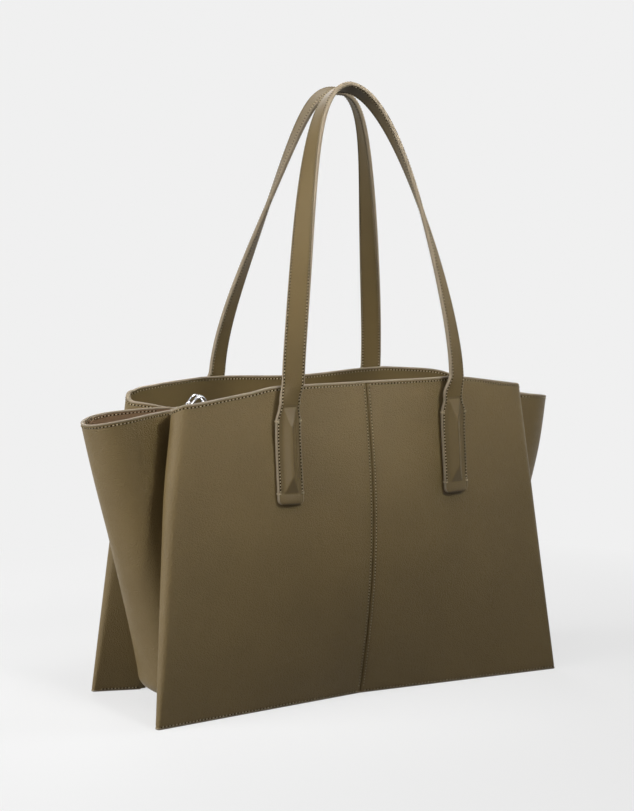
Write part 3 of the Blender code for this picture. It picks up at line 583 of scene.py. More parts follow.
def leather(name, color, relief, roughness, pebble=1000.0, contrast=0.16, specular=0.20):
    """Grained leather: pebbles with darker valleys, fine pores, slow colour drift and worn light patches."""
    material, tree, shader, place = new_material(name)
    link = tree.links.new
    bend = add(tree, "ShaderNodeTexNoise", Scale=380.0, Detail=2.0)
    link(place, bend.inputs["Vector"])
    shifted = add(tree, "ShaderNodeVectorMath", p_operation="MULTIPLY_ADD")
    link(bend.outputs["Color"], shifted.inputs[0])
    shifted.inputs[1].default_value = (0.0009, 0.0009, 0.0009)
    link(place, shifted.inputs[2])
    cells = add(tree, "ShaderNodeTexVoronoi", Scale=pebble, p_feature="F1", Randomness=0.85)
    link(shifted.outputs[0], cells.inputs["Vector"])
    distance = cells.outputs["Distance"]
    drift = noise(tree, place, Scale=16.0, Detail=4.0, Roughness=0.55)
    patch = noise(tree, place, Scale=120.0, Detail=3.0)
    base = mix_color(tree, ramp(tree, drift, 0.3, 0.7), shade(color, 0.93), shade(color, 1.07))
    valley = ramp(tree, distance, 0.25, 0.75)
    base = mix_color(tree, ramp(tree, valley, 0.0, 1.0, 0.0, contrast), base, shade(color, 0.62))
    base = mix_color(tree, ramp(tree, patch, 0.55, 0.8, 0.0, 0.22), base, shade(color, 1.22))
    link(base, shader.inputs["Base Color"])
    link(ramp(tree, patch, 0.25, 0.75, roughness + 0.07, roughness - 0.05), shader.inputs["Roughness"])
    height = add(tree, "ShaderNodeMath", p_operation="MULTIPLY_ADD")
    link(noise(tree, place, Scale=2600.0, Detail=3.0, Roughness=0.6), height.inputs[0])
    height.inputs[1].default_value = 0.35
    link(ramp(tree, distance, 0.1, 0.8, 1.0, 0.0), height.inputs[2])
    bump(tree, shader, height.outputs[0], 1.0, relief)
    shader.inputs["Specular IOR Level"].default_value = specular
    return material


def napped(name, color, weave=0.0, roughness=0.95, sheen=0.35, specular=0.5):
    """Suede or woven cloth: short fibres, brushed patches and, for cloth, a diagonal weave."""
    material, tree, shader, place = new_material(name)
    height = noise(tree, place, Scale=3200.0, Detail=4.0, Roughness=0.7)
    brush = noise(tree, place, Scale=45.0, Detail=5.0, Roughness=0.6)
    base = mix_color(tree, ramp(tree, brush, 0.3, 0.7), shade(color, 0.80), shade(color, 1.20))
    base = mix_color(tree, ramp(tree, height, 0.3, 0.75, 0.0, 0.45), base, shade(color, 0.55))
    if weave:
        turned = mapping(tree, place, "Rotation", (0.0, 0.0, math.radians(45.0)))
        wave = add(tree, "ShaderNodeTexWave", Scale=weave, Distortion=0.6, Detail=1.0)
        tree.links.new(turned, wave.inputs["Vector"])
        height = wave.outputs["Fac"]
        base = mix_color(tree, ramp(tree, height, 0.2, 0.8, 0.5, 0.0), base, shade(color, 0.45))
    tree.links.new(base, shader.inputs["Base Color"])
    bump(tree, shader, height, 0.8, 0.00012)
    for socket, value in (("Roughness", roughness), ("Specular IOR Level", specular), ("Sheen Weight", sheen),
                          ("Sheen Roughness", 0.4)):
        shader.inputs[socket].default_value = value
    return material


def metal(name, color, roughness):
    """Polished plating with faint hairlines and worn, duller spots."""
    material, tree, shader, place = new_material(name)
    link = tree.links.new
    lines = noise(tree, mapping(tree, place, "Scale", (300.0, 4200.0, 2500.0)), Scale=1.0, Detail=3.0)
    wear = noise(tree, place, Scale=420.0, Detail=3.0)
    link(mix_color(tree, ramp(tree, wear, 0.45, 0.75), color, shade(color, 0.72)), shader.inputs["Base Color"])
    link(ramp(tree, wear, 0.35, 0.75, roughness, roughness + 0.18), shader.inputs["Roughness"])
    bump(tree, shader, lines, 0.35, 0.00002)
    shader.inputs["Metallic"].default_value = 1.0
    return material


OLIVE = (0.140, 0.0985, 0.0405)
olive = leather("Olive pebbled leather", OLIVE, 0.00026, 0.43)
# Strap and tab leather: the olive darkened by a fifth, painted shade against the strong light on the straps
# from the left
shaded_strap_olive = leather("Olive strap leather", shade(OLIVE, 0.79), 0.00010, 0.46, 1300.0, 0.10, 0.13)
shaded_tab_olive = leather("Olive tab leather", shade(OLIVE, 0.80), 0.00010, 0.38, 1300.0, 0.10, 0.24)
smooth_olive = leather("Olive smooth leather", shade(OLIVE, 0.84), 0.00003, 0.42, 1900.0, 0.08)
# The edge finish is real; its colour is lighter than the olive as a painted highlight on the rounded top edges
paint_and_highlight = leather("Edge paint", (0.220, 0.178, 0.122), 0.00004, 0.48, 500.0, 0.05, 0.12)
suede = napped("Brown suede", (0.150, 0.088, 0.042), sheen=0.10)
tape_cloth = napped("Zip tape cloth", (0.085, 0.066, 0.038), weave=900.0, sheen=0.15)
thread = napped("Thread", (0.430, 0.345, 0.205), weave=2600.0, roughness=0.62, sheen=0.1)
# Stitch holes: near-black, painted shade for the depth of each hole
hole_shade = napped("Stitch hole", (0.012, 0.007, 0.002), sheen=0.0, specular=0.0)
# Filler board under the tabs: a real part, coloured near-black as painted shade for the gap between tab and
# wall
shaded_filler = napped("Filler board", (0.045, 0.033, 0.018), roughness=0.85, sheen=0.0)
silver = metal("Silver plating", (0.56, 0.56, 0.57), 0.12)
silver_teeth = metal("Silver teeth", (0.70, 0.70, 0.69), 0.26)

# Walls


def wall_columns(seam, panel, fold):
    """Columns of half a wall, with the given ones next to the centre seam."""
    return (seam + [0.11 + 0.89 * k / panel for k in range(panel)] + [1 + k / fold for k in range(fold)]
            + [2 + k / 14 for k in range(15)])


def both_sides(half):
    """(side, column) pairs of a whole wall, left to right."""
    return [(-1, t) for t in reversed(half[1:])] + [(1, t) for t in half]


def inner_columns(panel, fold):
    return both_sides([0.99 * k / panel for k in range(panel + 1)] + [1 + k / fold for k in range(fold)]
                      + [2 + k / 10 for k in range(11)])


def sheet_grids(rows, columns, place):
    """Outer and inner grid of a sheet. place(row, column) gives the two points."""
    pairs = [[place(row, column) for column in columns] for row in rows]
    return [[[pair[face] for pair in row] for row in pairs] for face in (0, 1)]


def wall_rows(low, high):
    """Heights from low to high, close together near both edges."""
    rows = [low + step for step in EDGE_STEPS]
    rows += [lerp(rows[-1], high - EDGE_STEPS[-1], (k + 1) / (WALL_MIDDLE_ROWS + 1))
             for k in range(WALL_MIDDLE_ROWS)]
    return rows + [high - step for step in reversed(EDGE_STEPS)]


def wall_furrows(x, z, rim, is_at_seam):
    """How far stitching and the centre seam pull the leather in."""
    depth = 0.00022 * dent(rim - z - RIM_STITCH, 0.0008) + 0.00018 * dent(z - FOOT_STITCH, 0.0007)
    if is_at_seam:
        depth += 0.0003 * dent(x, 0.0009) + 0.0013 * dent(x, 0.00042)
        depth += 0.00018 * dent(x - SEAM_STITCH, 0.0007)
    return depth


def make_wall(side_x, is_back):
    def place(index, t):
        rim = rim_height(t, is_back)
        z = wall_rows(WALL_FOOT, rim - PAINT_HEIGHT)[index]
        x = wall_plan(t, z / rim, 0.0).x if t < 0.1 else 1.0
        points = [wall_at(t, z, depth, side_x, is_back)
                  for depth in (wall_furrows(x, z, rim, t < 0.1), PANEL_THICKNESS)]
        return [(side_x * 0.00006, *point[1:]) for point in points] if t == 0.0 else points

    wall, side = WALLS[is_back], SIDES[side_x]
    columns = wall_columns(SEAM_COLUMNS, 34, 18) + [3.5, 4.0]
    rows = range(2 * len(EDGE_STEPS) + WALL_MIDDLE_ROWS)
    obj = two_sided(f"{wall}_wall_leather_{side}", *sheet_grids(rows, columns, place), [olive])
    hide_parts(f"{wall}_panel_{side}")


def bead_profile(thickness):
    """Rounded painted edge over a stack of leather this thick: (depth, height from the top) pairs."""
    return [*BEAD, *[(thickness - depth, height) for depth, height in reversed(BEAD)]]


def make_wall_beads(is_back):
    wall = WALLS[is_back]
    columns = both_sides(wall_columns(SEAM_COLUMNS[::3], 40, 24))
    rim = [[wall_at(t, rim_height(t, is_back) + h, depth, side_x, is_back)
            for depth, h in bead_profile(PANEL_THICKNESS + GAP + FACING_THICKNESS)] for side_x, t in columns]
    foot = [[wall_at(t, 0.00012 - h * 0.9, depth, side_x, is_back)
             for depth, h in bead_profile(PANEL_THICKNESS)] for side_x, t in columns]
    for edge, sections in (("rim", rim), ("foot", foot)):
        tube(f"{wall}_{edge}_edge_paint", sections, [paint_and_highlight], sharp=80.0)


def make_facing(is_back):
    depth = PANEL_THICKNESS + GAP

    def place(drop, column):
        side_x, t = column
        z = rim_height(t, is_back) - drop
        pull = 0.00020 * dent(drop - RIM_STITCH, 0.0008) + 0.00018 * dent(drop - FACING_STITCH, 0.0007)
        pull += 0.0006 * smooth((drop - 0.0388) / 0.0012)
        return [wall_at(t, z, d, side_x, is_back) for d in (depth, depth + FACING_THICKNESS - pull)]

    wall = WALLS[is_back]
    grids = sheet_grids(FACING_DROPS, inner_columns(36, 16), place)
    obj = two_sided(f"{wall}_facing_leather", *grids, [smooth_olive])
    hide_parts(f"{wall}_facing")


def sag(x, z, phase):
    """Slack of a lining, inwards only."""
    wave = math.sin(x * 38.0 + phase) * math.sin(z * 33.0 + phase)
    return 0.00055 * (wave + 0.5 * math.sin(x * 83.0 + z * 61.0 + phase) + 1.5)


def make_lining(is_back):
    depth = PANEL_THICKNESS + GAP
    rows = 44

    def place(row, column):
        side_x, t = column
        rim = rim_height(t, is_back)
        z = lerp(BOARD_TOP + GAP, rim - FACING_HEIGHT + 0.0015, row / rows)
        x = side_x * wall_plan(t, z / rim, 0.0).x
        slack = sag(x, z, 1.0 + is_back) * math.sin(math.pi * row / rows) * (1.0 if t < 1.0 else 0.2)
        return [wall_at(t, z, d, side_x, is_back) for d in (depth, depth + LINING_THICKNESS + slack)]

    wall = WALLS[is_back]
    grids = sheet_grids(range(rows + 1), inner_columns(44, 14), place)
    obj = two_sided(f"{wall}_lining_suede", *grids, [suede])
    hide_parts(f"{wall}_lining")


def wall_stitches(is_back):
    rows = Stitches()
    skin = 0.00007
    inner_face = PANEL_THICKNESS + GAP + FACING_THICKNESS - 0.00008
    facing = 1.0 if is_back else -1.0
    panel = [0.012 + 0.988 * k / 60 for k in range(61)]
    fold = [1 + (k + 1) / 30 for k in range(30)]
    flap = [2 + 0.93 * (k + 1) / 20 for k in range(20)]
    for side_x in SIDES:
        flip = facing * side_x
        for drop, depth, turn in ((RIM_STITCH, 0.00008, 1.0), (RIM_STITCH, inner_face, -1.0),
                                  (FACING_STITCH, inner_face, -1.0)):
            path, normals = surface_path(
                lambda t, over: wall_at(t, rim_height(t, is_back) - drop + over, depth, side_x, is_back),
                panel + fold + flap)
            rows.row(path, [n * -flip * turn for n in normals])
        for part in (panel, flap[1:]):
            path, normals = surface_path(
                lambda t, over: wall_at(t, FOOT_STITCH + over, skin, side_x, is_back), part)
            rows.row(path, [n * -flip for n in normals], holes=0.7)
        path, normals = [], []
        for k in range(80):
            z = lerp(0.006, rim_height(0.0, is_back) - 0.0062, k / 79)
            t = SEAM_STITCH / SEAM_REACH
            for _ in range(4):
                t *= SEAM_STITCH / max(wall_plan(t, z / rim_height(t, is_back), 0.0).x, 1e-6)
            here = np.array(wall_at(t, z, skin, side_x, is_back))
            up = np.array(wall_at(t, z + 0.001, skin, side_x, is_back)) - here
            out = np.cross(up, np.array([1.0, 0.0, 0.0]))
            path.append(here)
            normals.append(out / np.linalg.norm(out) * facing)
        rows.row(path, normals, pitch=STRAP_PITCH, radius=0.00032, holes=0.62)
    rows.finish(f"{WALLS[is_back]}_wall_stitches")


# Wings


def make_wing(side_x):
    side = SIDES[side_x]
    flat = WING_FLAT_SHARE

    def around(before, after):
        shares = [flat * k / before for k in range(before)]
        shares += [flat + (1.0 - flat) * (k / after) for k in range(after + 1)]
        return [(-1, s) for s in shares] + [(1, s) for s in reversed(shares[:-1])]

    columns = around(12, 30)
    last = len(WING_DROPS)

    def grid(depth, low, middle, furrow, slack):
        rows = []
        for k in range(middle + 1 + last):
            row = []
            for side_y, s in columns:
                rim = wing_rim(s)
                if k <= middle:
                    z = lerp(low, rim - WING_DROPS[0], (k / (middle + 1)) ** 1.25)
                else:
                    z = rim - WING_DROPS[k - middle - 1]
                pull = furrow * dent(rim - z - RIM_STITCH, 0.0008)
                hung = slack * sag(s * 0.2, z, side_y) * math.sin(math.pi * k / (middle + last))
                row.append(wing_at(s, z, depth + pull + hung, side_x, side_y))
            rows.append(row)
        return rows

    low = WING_FOOT_HEIGHT - 0.0004
    obj = two_sided(f"wing_leather_{side}", grid(GAP, low, 46, 0.00020, 0.0),
                    grid(GAP + WING_THICKNESS, low, 46, 0.0, 0.0), [olive])
    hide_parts(f"wing_{side}")
    depth, low = 2 * GAP + WING_THICKNESS, WING_FOOT_HEIGHT + 0.003
    lining = two_sided(f"wing_suede_{side}", grid(depth, low, 40, 0.0, 0.0),
                       grid(depth + LINING_THICKNESS, low, 40, -0.0002, 0.6), [suede])
    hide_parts(f"wing_lining_{side}")

    fine = around(16, 44)
    stack = WING_THICKNESS + GAP + LINING_THICKNESS
    sections = [[wing_at(s, wing_rim(s) + h, GAP + d, side_x, side_y) for d, h in bead_profile(stack)]
                for side_y, s in fine]
    tube(f"wing_rim_edge_paint_{side}", sections, [paint_and_highlight], sharp=80.0)

    rows = Stitches()
    for depth, turn in ((GAP + 0.00008, 1.0), (GAP + stack - 0.00006, -1.0)):
        path, normals = [], []
        for side_y, s in fine:
            if s >= 0.06:
                here, deeper = [np.array(wing_at(s, wing_rim(s) - RIM_STITCH, depth + more, side_x, side_y))
                                for more in (0.0, 0.0008)]
                path.append(here)
                normals.append((here - deeper) / np.linalg.norm(here - deeper) * turn)
        rows.row(path, normals)
    rows.finish(f"wing_stitches_{side}")


# Base, dividers and zip


def copy_node(node, name, material, bevel, reshape=None):
    """A piece with a node's shape, rounded edges and its own material."""
    mesh = nodes[node].data.copy()
    mesh.materials.clear()
    mesh.materials.append(material)
    work = bmesh.new()
    work.from_mesh(mesh)
    bmesh.ops.remove_doubles(work, verts=work.verts, dist=1e-6)
    if reshape:
        for vert in work.verts:
            vert.co = reshape(vert.co)
    bmesh.ops.dissolve_limit(work, angle_limit=math.radians(1.0), verts=work.verts, edges=work.edges)
    bmesh.ops.recalc_face_normals(work, faces=work.faces)
    work.to_mesh(mesh)
    work.free()
    obj = add_object(name, mesh)
    rounding = obj.modifiers.new("Rounded edges", "BEVEL")
    rounding.width = bevel
    rounding.segments = 3
    rounding.limit_method = "ANGLE"
    rounding.angle_limit = math.radians(40.0)
    mesh.shade_smooth()
    mesh.set_sharp_from_angle(angle=math.radians(60.0))
    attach(obj, "bag")
    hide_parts(node)


def open_base_end(point):
    """The base has no flange under the wings: there it is one layer of leather, clear of the floor."""
    is_end = abs(point.x) > BOARD_HALF_WIDTH - 0.001 and point.z < BASE_END_HEIGHT
    return Vector((point.x, point.y, BASE_END_HEIGHT)) if is_end else point


def make_dividers():
    rows = Stitches()
    foot, top_depth = BOARD_TOP + GAP, junction_at(DIVIDER_HEIGHT).y
    tape_end = top_depth + 0.0016
    count = 46
    for side_y, wall in zip((-1, 1), WALLS):

        def board(r, c):
            share = r / count
            z = lerp(foot, DIVIDER_HEIGHT, share)
            half = junction_at(z).x - 0.0035
            x = lerp(-half, half, c / 60)
            belly = 0.0022 * math.sin(x * 24.0 + side_y) * math.sin(z * 17.0 + side_y)
            belly *= math.sin(math.pi * share) * math.sin(math.pi * c / 60)
            thick = DIVIDER_THICKNESS / 2 + (0.0005 if share > DIVIDER_BAND else 0.0)
            depth = lerp(DIVIDER_FOOT_DEPTH, top_depth, share) + belly
            return [(x, side_y * (depth + face * thick), z) for face in (-1, 1)]

        def tape_at(r, c):
            y = lerp(TAPE_START, tape_end, r / 14)
            reach = min(TAPE_HALF_LENGTH, TAPE_HALF_LENGTH + tape_end - 0.0045 - y)
            x = lerp(-reach, reach, c / 140)
            top = TAPE_HEIGHT + 0.0006 + 0.0003 * math.sin(math.pi * r / 14) + 0.00008 * math.sin(c * 0.9)
            return [(x, side_y * y, TAPE_HEIGHT), (x, side_y * y, top)]

        obj = two_sided(f"{wall}_divider_suede", *sheet_grids(range(count + 1), range(61), board),
                        [suede, smooth_olive], lambda r: int(r >= DIVIDER_BAND * count))
        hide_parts(f"{wall}_divider")
        for face in (-1, 1):
            depth = lerp(DIVIDER_FOOT_DEPTH, top_depth, DIVIDER_STITCH) + face * 0.0011
            z = lerp(foot, DIVIDER_HEIGHT, DIVIDER_STITCH)
            half = junction_at(z).x - 0.006
            path = [(lerp(-half, half, k / 90), side_y * depth, z) for k in range(91)]
            rows.row(path, [(0.0, side_y * face, 0.0)] * 91)

        grids = sheet_grids(range(15), range(141), tape_at)
        tape = two_sided(f"zip_tape_cloth_{wall}", *grids, [tape_cloth])
        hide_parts(f"zip_tape_{wall}")
        path = [(lerp(-0.136, 0.136, k / 120), side_y * 0.0102, TAPE_HEIGHT + 0.0008) for k in range(121)]
        rows.row(path, [(0.0, 0.0, 1.0)] * 121)
    rows.finish("divider_stitches")


def rounded_plate(outline, low, high, bevel):
    """Bevelled plate as points and faces, to be joined into a larger piece."""
    work = bmesh.new()
    face = work.faces.new([work.verts.new((x, y, low)) for x, y in outline])
    for item in bmesh.ops.extrude_face_region(work, geom=[face])["geom"]:
        if isinstance(item, bmesh.types.BMVert):
            item.co.z = high
    work.normal_update()
    sharp = [edge for edge in work.edges if edge.calc_face_angle(0.0) > math.radians(50.0)]
    bmesh.ops.bevel(work, geom=sharp, offset=bevel, segments=2, affect="EDGES", profile=0.6)
    work.verts.index_update()
    points = [tuple(v.co) for v in work.verts]
    faces = [[v.index for v in f.verts] for f in work.faces]
    work.free()
    return points, faces


def join_parts(parts):
    points, faces = [], []
    for part_points, part_faces in parts:
        faces += [[len(points) + i for i in face] for face in part_faces]
        points += part_points
    return points, faces


def turns(count, shift=0):
    """Even angles round a circle."""
    return [2 * math.pi * (k + shift) / count for k in range(count)]


def blunt(value, power):
    """Sine or cosine changed so that a circle becomes a rounded square."""
    return math.copysign(abs(value) ** power, value)


def make_zip_metal():
    pitch = 2 * TEETH_HALF_LENGTH / TEETH_COUNT
    low, high = TEETH_MIDDLE - 0.0011, TEETH_MIDDLE + 0.0011
    for side_y, wall in zip((-1, 1), WALLS):
        parts = []
        for k in range(TEETH_COUNT):
            x = -TEETH_HALF_LENGTH + (k + 0.5 + 0.25 * side_y) * pitch
            outline = [(x - wide, side_y * y) for wide, y in TOOTH]
            outline += [(x + wide, side_y * y) for wide, y in reversed(TOOTH)]
            parts.append(rounded_plate(outline[::side_y], low, high, 0.00012))
        teeth = make_object(f"zip_teeth_metal_{wall}", *join_parts(parts), [silver_teeth], sharp=40.0)
        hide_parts(f"zip_teeth_{wall}")
        cord = [[(lerp(-CORD_HALF_LENGTH, CORD_HALF_LENGTH, c / 280), side_y * (0.0037 + 0.0006 * math.cos(a)),
                  TEETH_MIDDLE + 0.0009 * math.sin(a)) for a in turns(8)] for c in range(281)]
        tube(f"zip_cord_{wall}", cord, [tape_cloth])
        for side in SIDES.values():
            stop = nodes[f"zip_stop_{wall}_{side}"].data.materials
            stop.clear()
            stop.append(silver)


def make_slider():
    """Two rounded plates with turned edges, and the arch that holds the puller."""
    half = SLIDER_HALF_WIDTH
    plan = [(-0.0060, 0.0030), (-0.0050, half - 0.0006), (-0.0030, half), (0.0024, half),
            (0.0048, half - 0.0012), (0.0060, 0.0026)]
    outline = [(SLIDER_X + x, -y) for x, y in plan] + [(SLIDER_X + x, y) for x, y in reversed(plan)]
    parts = [rounded_plate(outline, *plate) for plate in SLIDER_PLATES]
    for side_y in (-1, 1):
        lip = [(SLIDER_X - 0.0046, side_y * 0.0042), (SLIDER_X + 0.0042, side_y * 0.0042),
               (SLIDER_X + 0.0042, side_y * half), (SLIDER_X - 0.0046, side_y * half)]
        parts += [rounded_plate(lip[::side_y], low, high, 0.0002) for low, high in SLIDER_LIPS]
    slider = make_object("zip_slider_metal", *join_parts(parts), [silver], sharp=35.0, body="zip_slider")
    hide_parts("zip_slider")
    arch = []
    for k in range(27):
        c, s = math.cos(math.pi * k / 26), max(math.sin(math.pi * k / 26), 0.0)
        mid = Vector((SLIDER_X + 0.0034 * abs(c) ** 0.55 * (1 if c > 0 else -1), 0.0,
                      SLIDER_TOP - 0.0002 + 0.0037 * s ** 0.6))
        out = Vector((c, 0.0, s + 0.15)).normalized()
        arch.append([mid + Vector((0.0, 0.0011 * blunt(math.cos(a), 0.6), 0.0))
                     + out * 0.00045 * blunt(math.sin(a), 0.6) for a in turns(12)])
    crown = tube("zip_crown_metal", arch, [silver], sharp=70.0, body="zip_slider")
    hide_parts("zip_slider_crown")


def make_puller():
    """A bowed band whose cross wire lies in the crown, with two arched rails."""
    half, length, rise = 0.0050, 0.0150, 0.0068
    key = [(share, -side) for share, side in PULLER_RAIL] + [(1.0, 0.0)]
    key += [(share, side) for share, side in reversed(PULLER_RAIL)]
    line = []
    for a, b in zip(key, key[1:] + key[:1]):
        line += [(lerp(a[0], b[0], k / 5), lerp(a[1], b[1], k / 5)) for k in range(5)]
    for _ in range(4):
        line = [((p[0] + 2 * q[0] + r[0]) / 4, (p[1] + 2 * q[1] + r[1]) / 4)
                for p, q, r in zip(line[-1:] + line[:-1], line, line[1:] + line[:1])]
    wire = [Vector((SLIDER_X + length * share, half * side, PIVOT_HEIGHT + rise * math.sin(math.pi * share)))
            for share, side in line]
    rings = []
    for k, centre in enumerate(wire):
        along = (wire[(k + 1) % len(wire)] - wire[k - 1]).normalized()
        inward = Vector((SLIDER_X + 0.5 * length - centre.x, -centre.y,
                         -0.0045 - 0.3 * (centre.z - PIVOT_HEIGHT)))
        inward = (inward - inward.dot(along) * along).normalized()
        side = along.cross(inward)
        wide = lerp(0.00075, 0.00125, smooth(line[k][0] / 0.25))
        rings.append([centre + inward * 0.00078 * blunt(math.cos(a), 0.7)
                      + side * wide * blunt(math.sin(a), 0.7) for a in turns(12, 0.5)])
    puller = tube("zip_puller_metal", rings, [silver], body="zip_puller", closed=True, sharp=80.0)
    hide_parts("zip_puller")


def make_zip_ends():
    """Small leather tabs over the ends of the zip."""
    rows = Stitches()
    for side_x, side in SIDES.items():
        sections = []
        for k in range(13):
            end = 0.0011 * (1.0 - math.sqrt(1.0 - (1.0 - min(k, 12 - k, 2) / 2.0) ** 2))
            low, high, wide = END_TAB_HEIGHTS[0] + end, END_TAB_HEIGHTS[1] - end, END_TAB_HALF_WIDTH - end
            half = [(wide - 0.0006, low), (wide, low + 0.0006), (wide, high - 0.0007), (wide - 0.0007, high)]
            outline = [(-y, z) for y, z in half[1::-1]] + half + [(-y, z) for y, z in half[:1:-1]]
            sections.append([(side_x * lerp(*END_TAB_REACH, k / 12), y, z) for y, z in outline])
        tube(f"zip_end_tab_{side}", sections, [smooth_olive])
        path = [(side_x * 0.1438, lerp(-0.0074, 0.0074, k / 20), 0.24902) for k in range(21)]
        rows.row(path, [(0.0, 0.0, 1.0)] * 21, pitch=0.0026)
    rows.finish("zip_end_stitches")


# Straps and tabs


def strip_profile(half, inset, back, front, ridge):
    """Closed section of a leather strip: rounded painted edges and pulled-in stitch lines.

    Each item is (across, height, is painted). ridge(across) adds height to the front.
    """
    radius = PAINT_RADIUS
    bend = 0.3 * radius
    line = half - inset
    inner = line - 0.0016
    places = [radius - half, *[step - line for step in (-0.0009, -0.0004, 0.0, 0.0004, 0.0009)]]
    places += [lerp(-inner, inner, k / 26) for k in range(27)] + [-x for x in reversed(places)]
    profile = [(-half, back + radius, 1), (-half, front - radius, 1), (bend - half, front - bend, 1)]
    for x in places:
        pull = 0.00020 * dent(abs(x) - line, 0.0006)
        profile.append((x, front - pull + 0.00012 * (1.0 - (x / half) ** 2) + ridge(x), 0))
    profile += [(half - bend, front - bend, 1), (half, front - radius, 1), (half, back + radius, 1),
                (half - bend, back + bend, 1)]
    profile += [(x, back + 0.00018 * dent(abs(x) - line, 0.0006), 0) for x in reversed(places)]
    return [*profile, (bend - half, back + bend, 1)]


def strip_slots(profile):
    return [int(a[2] or b[2]) for a, b in zip(profile, profile[1:] + profile[:1])]


def strap_frames(is_back):
    """Centre, across and outward directions along a strap, left hinge to right hinge."""
    route = ROUTES[WALLS[is_back]]
    rise, lower, upper, reach, crown = route["places"]
    twist = route["twist"]
    side_y = 1 if is_back else -1
    base = STRAP_SPACING / 2
    places = [(base, 0.0, HINGE_HEIGHT + GAP), (base + rise[0], 0.0, HINGE_HEIGHT + rise[1]), lower, upper,
              (reach, *crown), (0.0, *crown)]
    halves = []
    for side_x in SIDES:
        leg = [Vector((side_x * x, side_y * (STRAP_DEPTH - inward), z)) for x, inward, z in places]
        samples = [bezier(leg, k / STRAP_SAMPLES) for k in range(STRAP_SAMPLES + 1)]
        lengths = np.concatenate([[0.0], np.cumsum([(b - a).length for a, b in zip(samples, samples[1:])])])
        half = []
        for step in range(STRAP_STEPS + 1):
            share = step / STRAP_STEPS
            along = float(np.interp(share * lengths[-1], lengths, np.linspace(0.0, 1.0, STRAP_SAMPLES + 1)))
            centre = bezier(leg, along)
            ahead, behind = bezier(leg, min(along + 0.0025, 1.0)), bezier(leg, max(along - 0.0025, 0.0))
            tangent = (ahead - behind).normalized() if step else Vector((0.0, 0.0, 1.0))
            turn = math.pi / 2 + side_x * side_y * route["skew"]
            turn *= smooth((share - twist[0]) / (twist[1] - twist[0])) * smooth(share / 0.06)
            across = Vector((math.cos(turn), -side_x * side_y * math.sin(turn), 0.0))
            across = (across - across.dot(tangent) * tangent).normalized()
            roll = side_x * route["roll"] * smooth((share - 0.25) / 0.75)
            across = across * math.cos(roll) + tangent.cross(across) * math.sin(roll)
            climb = (centre.z - HINGE_HEIGHT) / (crown[1] - HINGE_HEIGHT)
            centre.x += lerp(NECK_LEAN, lerp(*route["lean"], climb), smooth(share / 0.06))
            half.append((centre, across, -side_y * across.cross(tangent)))
        root, across, outward = half[0]
        halves.append([(Vector((root.x, root.y, HINGE_HEIGHT - 0.0014 + k * 0.0006)), across, outward)
                       for k in range(3)] + half)
    left, right = halves
    return left + [(c, -a, o) for c, a, o in right[-2::-1]]


def make_strap(is_back):
    wall = WALLS[is_back]
    face = STRAP_THICKNESS / 2
    profile = strip_profile(STRAP_WIDTH / 2, STRAP_STITCH, -face, face, lambda x: 0.0)
    frames = strap_frames(is_back)
    sections = [[c + a * x + o * h for x, h, _ in profile] for c, a, o in frames]
    strap = tube(f"{wall}_strap_leather", sections, [shaded_strap_olive, paint_and_highlight], strip_slots(profile), body=None)
    rows = Stitches()
    for line in (-1, 1):
        for outer, lift in ((1.0, face - 0.00008), (-1.0, -face + 0.00006)):
            path = [c + a * line * (STRAP_WIDTH / 2 - STRAP_STITCH) + o * lift for c, a, o in frames]
            rows.row(path, [o * outer for _, _, o in frames], pitch=STRAP_PITCH, radius=STRAP_THREAD,
                     fill=0.58, slant=-9.0 * outer)
    stitches = rows.finish(f"{wall}_strap_stitches", body=None)
    for piece in (strap, stitches):
        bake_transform(piece)
    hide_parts(f"{wall}_strap_outer", f"{wall}_strap_lining")


def tab_half_width(z, side):
    full, neck = TAB_WIDTH / 2 + TAB_SPARE[side], STRAP_WIDTH / 2
    if z < TAB_BOTTOM + TAB_CORNER:
        sunk = TAB_BOTTOM + TAB_CORNER - z
        return full - (TAB_CORNER - math.sqrt(max(TAB_CORNER ** 2 - sunk ** 2, 0.0)))
    return lerp(full, neck, smooth((z - TAB_SHOULDER) / (TAB_RIDGE[3] - TAB_SHOULDER)))


def lean(z, side):
    """Sideways shift of a tab: its foot hangs a little to the right, and its neck follows the strap."""
    foot = TAB_LEAN[side] * smooth((TAB_SHOULDER - z) / (TAB_SHOULDER - TAB_BOTTOM)) + TAB_SHIFT[side]
    return foot + (NECK_LEAN - TAB_SHIFT[side]) * smooth((z - TAB_SHOULDER) / (HINGE_HEIGHT - TAB_SHOULDER))


def hang(z, side):
    """Height of a point of a tab: the sewn end reaches a little lower on the right."""
    return z - TAB_DROP[side] * (HINGE_HEIGHT - z) / (HINGE_HEIGHT - TAB_BOTTOM)


def soft_min(values):
    return -RIDGE_ROUNDING * math.log(sum(math.exp(-value / RIDGE_ROUNDING) for value in values))


def ridge_at(x, z):
    """Faceted keel over the filler: a triangle at its top, two long slopes and a triangle at its foot."""
    low, low_full, high_full, high = TAB_RIDGE
    across = max(1.0 - abs(x) / TAB_RIDGE_HALF_WIDTH, 0.0)
    return max(soft_min((TAB_RIDGE_HEIGHT * lerp(across, smooth(across), 0.65),
                         TAB_RIDGE_HEIGHT * (z - low) / (low_full - low),
                         TAB_RIDGE_HEIGHT * (high - z) / (high - high_full))), 0.0)


